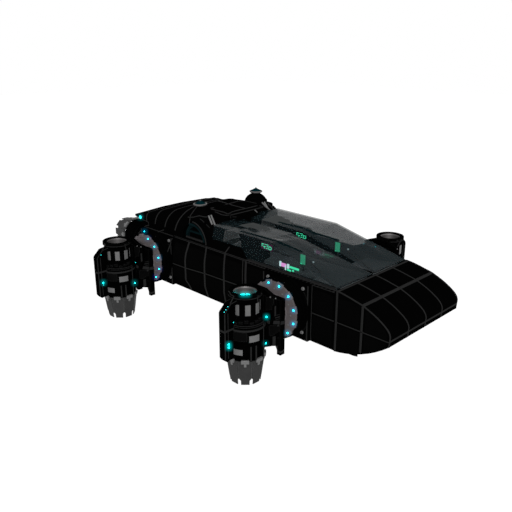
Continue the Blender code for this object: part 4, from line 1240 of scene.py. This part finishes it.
class HOVERCRAFT_OT_intakes(CraftOperator, bpy.types.Operator):
    """Fit a fan and a lip in each intake, and light strips in the near one"""

    bl_idname = "hovercraft.intakes"
    bl_label = "Intakes"

    def make(self, looks):
        hub = Matrix.Translation((0, -POD_Y, 0))
        fan, strips, lip = Shape(), Shape(), Shape()
        fan.lathe([(0.0, 0.64), (0.075, 0.64), (0.075, 0.80), (0.062, 0.85), (0.035, 0.89), (0.0, 0.905)], 24, hub)
        section = ((-1, 0), (-0.3, 0.007), (0.4, 0.006), (1, 0), (0.4, -0.002), (-0.3, -0.003))
        rows = []
        for radius, chord, pitch in ((0.068, 0.075, 52), (0.12, 0.095, 38), (0.17, 0.105, 28), (0.199, 0.10, 22)):
            a = radians(pitch)
            rows.append([(radius, s * chord / 2 * cos(a) + t * sin(a), 0.78 - s * chord / 2 * sin(a) + t * cos(a))
                         for s, t in section])
        for k in range(looks.fan_blades):
            fan.loft(rows, hub @ Matrix.Rotation(tau * k / looks.fan_blades, 4, "Z"))
        for begin in (97, 139):
            strips.lathe([(0.214, 0.966), (0.205, 0.970), (0.205, 1.004), (0.214, 1.008)], 8, hub, begin, 34)
        lip.lathe([(0.208, 1.150), (0.208, 1.163), (0.213, 1.167), (0.292, 1.167), (0.294, 1.164), (0.294, 1.120),
                   (0.2915, 1.116), (0.2905, 1.162), (0.236, 1.162), (0.236, 1.150)], 64, hub)
        for tag, x, sign in PODS:
            spot = pod_place(x, sign)
            lip.finish(f"intake_lip_{tag}", f"pod_{tag}", "pod_black", "pod_coating", spot)
            fan.finish(f"fan_{tag}", f"pod_{tag}", "duct_grey", "black_plastic", spot)
            if tag == "front_right":
                strips.finish(f"duct_strips_{tag}", f"pod_{tag}", "duct_grey", "glow_strip", spot)


class HOVERCRAFT_OT_nozzles(CraftOperator, bpy.types.Operator):
    """Fit the petals' pivots to all six nozzles"""

    bl_idname = "hovercraft.nozzles"
    bl_label = "Nozzles"

    def make(self, looks):
        slope = (NOZZLE_TOP_R - NOZZLE_TIP_R) / NOZZLE_LENGTH
        spots = [(Vector((x, y, 0)) * NOZZLE_TOP_R, Vector((x, y, -slope)).normalized(), UP)
                 for x, y in circle(1.0, PETALS)]
        for tag, x, sign in PODS:
            place = pod_place(x, sign) @ Matrix.Translation((0, -POD_Y, 0.010))
            repeat(f"petal_pivots_{tag}", petal_pin(), spots, f"pod_{tag}", "zinc", place)
        x, y, z = THRUSTER_ROOT
        for side, sign in SIDES.items():
            repeat(f"rear_petal_pivots_{side}", petal_pin(), spots, "hull", "zinc",
                   HULL @ turned((x, sign * y, z), 90, "Y"))


class HOVERCRAFT_OT_tail(CraftOperator, bpy.types.Operator):
    """Fit the tail lamps' bezels and the straps beside them"""

    bl_idname = "hovercraft.tail"
    bl_label = "Tail fittings"

    def make(self, looks):
        x, z = TAIL_LIGHT
        shape = Shape()
        shape.lathe([(0.036, -0.01), (0.056, -0.01), (0.056, 0.018), (0.046, 0.026), (0.036, 0.022)], 24,
                    turned((x, -HULL_HALF, z), 90, "X"))
        shape.tube([(-5.526, -1.098, 1.150), (-5.40, -1.098, 1.19), (-5.42, -1.09, 1.27)], 0.012)
        shape.twinned("tail_fittings")


class HOVERCRAFT_OT_stage(CraftOperator, bpy.types.Operator):
    """Set the floor, studio light, camera and lamp glow"""

    bl_idname = "hovercraft.stage"
    bl_label = "Stage"

    def make(self, looks):
        scene = bpy.context.scene
        made, tree = blank("pale studio floor")
        colour, _, _ = mottled(tree, "#383838", "#404040", 1.5)
        principled(tree, {"Roughness": 0.9, "Specular IOR Level": 0.0, "Emission Color": (1, 1, 1, 1),
                          "Emission Strength": 0.99}, {"Base Color": colour})
        mesh = bpy.data.meshes.new("floor")
        mesh.from_pydata([(60 * x, 60 * y, 0) for x, y in ((-1, -1), (1, -1), (1, 1), (-1, 1))], [], [(0, 1, 2, 3)])
        mesh.materials.append(made)
        floor = bpy.data.objects.new("floor", mesh)
        scene.collection.objects.link(floor)

        world = bpy.data.worlds.new("studio")
        scene.world = world
        world.use_nodes = True
        backdrop = world.node_tree.nodes["Background"]
        backdrop.inputs[0].default_value = (1, 1, 1, 1)
        backdrop.inputs[1].default_value = 1.0
        # One soft sun from the camera's heading, as the photo's light, and a weak fill
        for name, kind, place, power, spread, size in (
                ("key light", "SUN", (8.6, -8.6, 6.2), 4.6, "angle", radians(10)),
                ("fill light", "AREA", (8.0, 6.0, 7.0), 160.0, "size", 6.0)):
            lamp = bpy.data.lights.new(name, kind)
            lamp.energy = power
            setattr(lamp, spread, size)
            light = bpy.data.objects.new(name, lamp)
            scene.collection.objects.link(light)
            light.location = place
            light.rotation_euler = (Vector(place) - UP).to_track_quat("Z", "Y").to_euler()

        view = bpy.data.cameras.new("camera")
        view.lens = 43.453
        view.sensor_width = 36.0
        camera = bpy.data.objects.new("camera", view)
        scene.collection.objects.link(camera)
        camera.location = ORIGIN + CAMERA_SPOT
        level = cos(CAMERA_RISE)
        back = Vector((sin(CAMERA_AZIMUTH) * level, -cos(CAMERA_AZIMUTH) * level, sin(CAMERA_RISE)))
        camera.rotation_euler = back.to_track_quat("Z", "Y").to_euler()
        scene.camera = camera
        scene.view_settings.view_transform = "Standard"
        self.glow(scene)

    def glow(self, scene):
        """Spreads a soft ball of light around whatever is brighter than the floor."""
        threshold, brightest, reach = 1.8, 30.0, 0.0105
        scene.use_nodes = True
        tree = scene.node_tree
        tree.nodes.clear()
        picture = add_node(tree, "CompositorNodeRLayers").outputs["Image"]
        bright = add_node(tree, "CompositorNodeMixRGB",
                          {"blend_type": "SUBTRACT", "use_clamp": False, 0: 1.0, 2: (*[threshold] * 3, 1)},
                          {1: picture})
        split = add_node(tree, "CompositorNodeSeparateColor", links={0: bright.outputs[0]})
        channels = {}
        for index in range(3):
            part = add_node(tree, "CompositorNodeMath", {"operation": "MAXIMUM", 1: 0.0}, {0: split.outputs[index]})
            channels[index] = add_node(tree, "CompositorNodeMath", {"operation": "MINIMUM", 1: brightest},
                                       {0: part.outputs[0]}).outputs[0]
        lamps = add_node(tree, "CompositorNodeCombineColor", None, channels).outputs[0]
        width = add_node(tree, "CompositorNodeRelativeToPixel",
                         {"data_type": "VECTOR", "reference_dimension": "X", 0: (reach, reach)}, {"Image": lamps})
        ball = add_node(tree, "CompositorNodeBlur", {"filter_type": "QUAD"},
                        {"Image": lamps, "Size": width.outputs[1]})
        total = add_node(tree, "CompositorNodeMixRGB", {"blend_type": "ADD", 0: 1.0},
                         {1: picture, 2: ball.outputs[0]})
        add_node(tree, "CompositorNodeComposite", links={"Image": total.outputs[0]})


class HOVERCRAFT_PT_panel(bpy.types.Panel):
    """The dressing's steps and settings."""

    bl_idname = "HOVERCRAFT_PT_panel"
    bl_label = "Hovercraft"
    bl_space_type = "VIEW_3D"
    bl_region_type = "UI"
    bl_category = "Hovercraft"

    def draw(self, context):
        looks = context.scene.hovercraft_looks
        for key in HovercraftLooks.__annotations__:
            self.layout.prop(looks, key)
        for step in STEPS:
            self.layout.operator(step.bl_idname)


STEPS = (
    HOVERCRAFT_OT_finishes, HOVERCRAFT_OT_nose_bands, HOVERCRAFT_OT_side_seams, HOVERCRAFT_OT_side_panels,
    HOVERCRAFT_OT_canopy_seal, HOVERCRAFT_OT_deck_ribs, HOVERCRAFT_OT_roof, HOVERCRAFT_OT_cabin_trim,
    HOVERCRAFT_OT_canopy_frames, HOVERCRAFT_OT_seats, HOVERCRAFT_OT_controls, HOVERCRAFT_OT_pads,
    HOVERCRAFT_OT_rings, HOVERCRAFT_OT_pods, HOVERCRAFT_OT_intakes, HOVERCRAFT_OT_nozzles, HOVERCRAFT_OT_tail,
    HOVERCRAFT_OT_stage)
CLASSES = (HovercraftLooks, *STEPS, HOVERCRAFT_PT_panel)


def register():
    for cls in CLASSES:
        bpy.utils.register_class(cls)
    bpy.types.Scene.hovercraft_looks = PointerProperty(type=HovercraftLooks)


def unregister():
    del bpy.types.Scene.hovercraft_looks
    for cls in reversed(CLASSES):
        bpy.utils.unregister_class(cls)


def main():
    register()
    for step in STEPS:
        group, name = step.bl_idname.split(".")
        getattr(getattr(bpy.ops, group), name)()


if __name__ == "__main__":
    main()
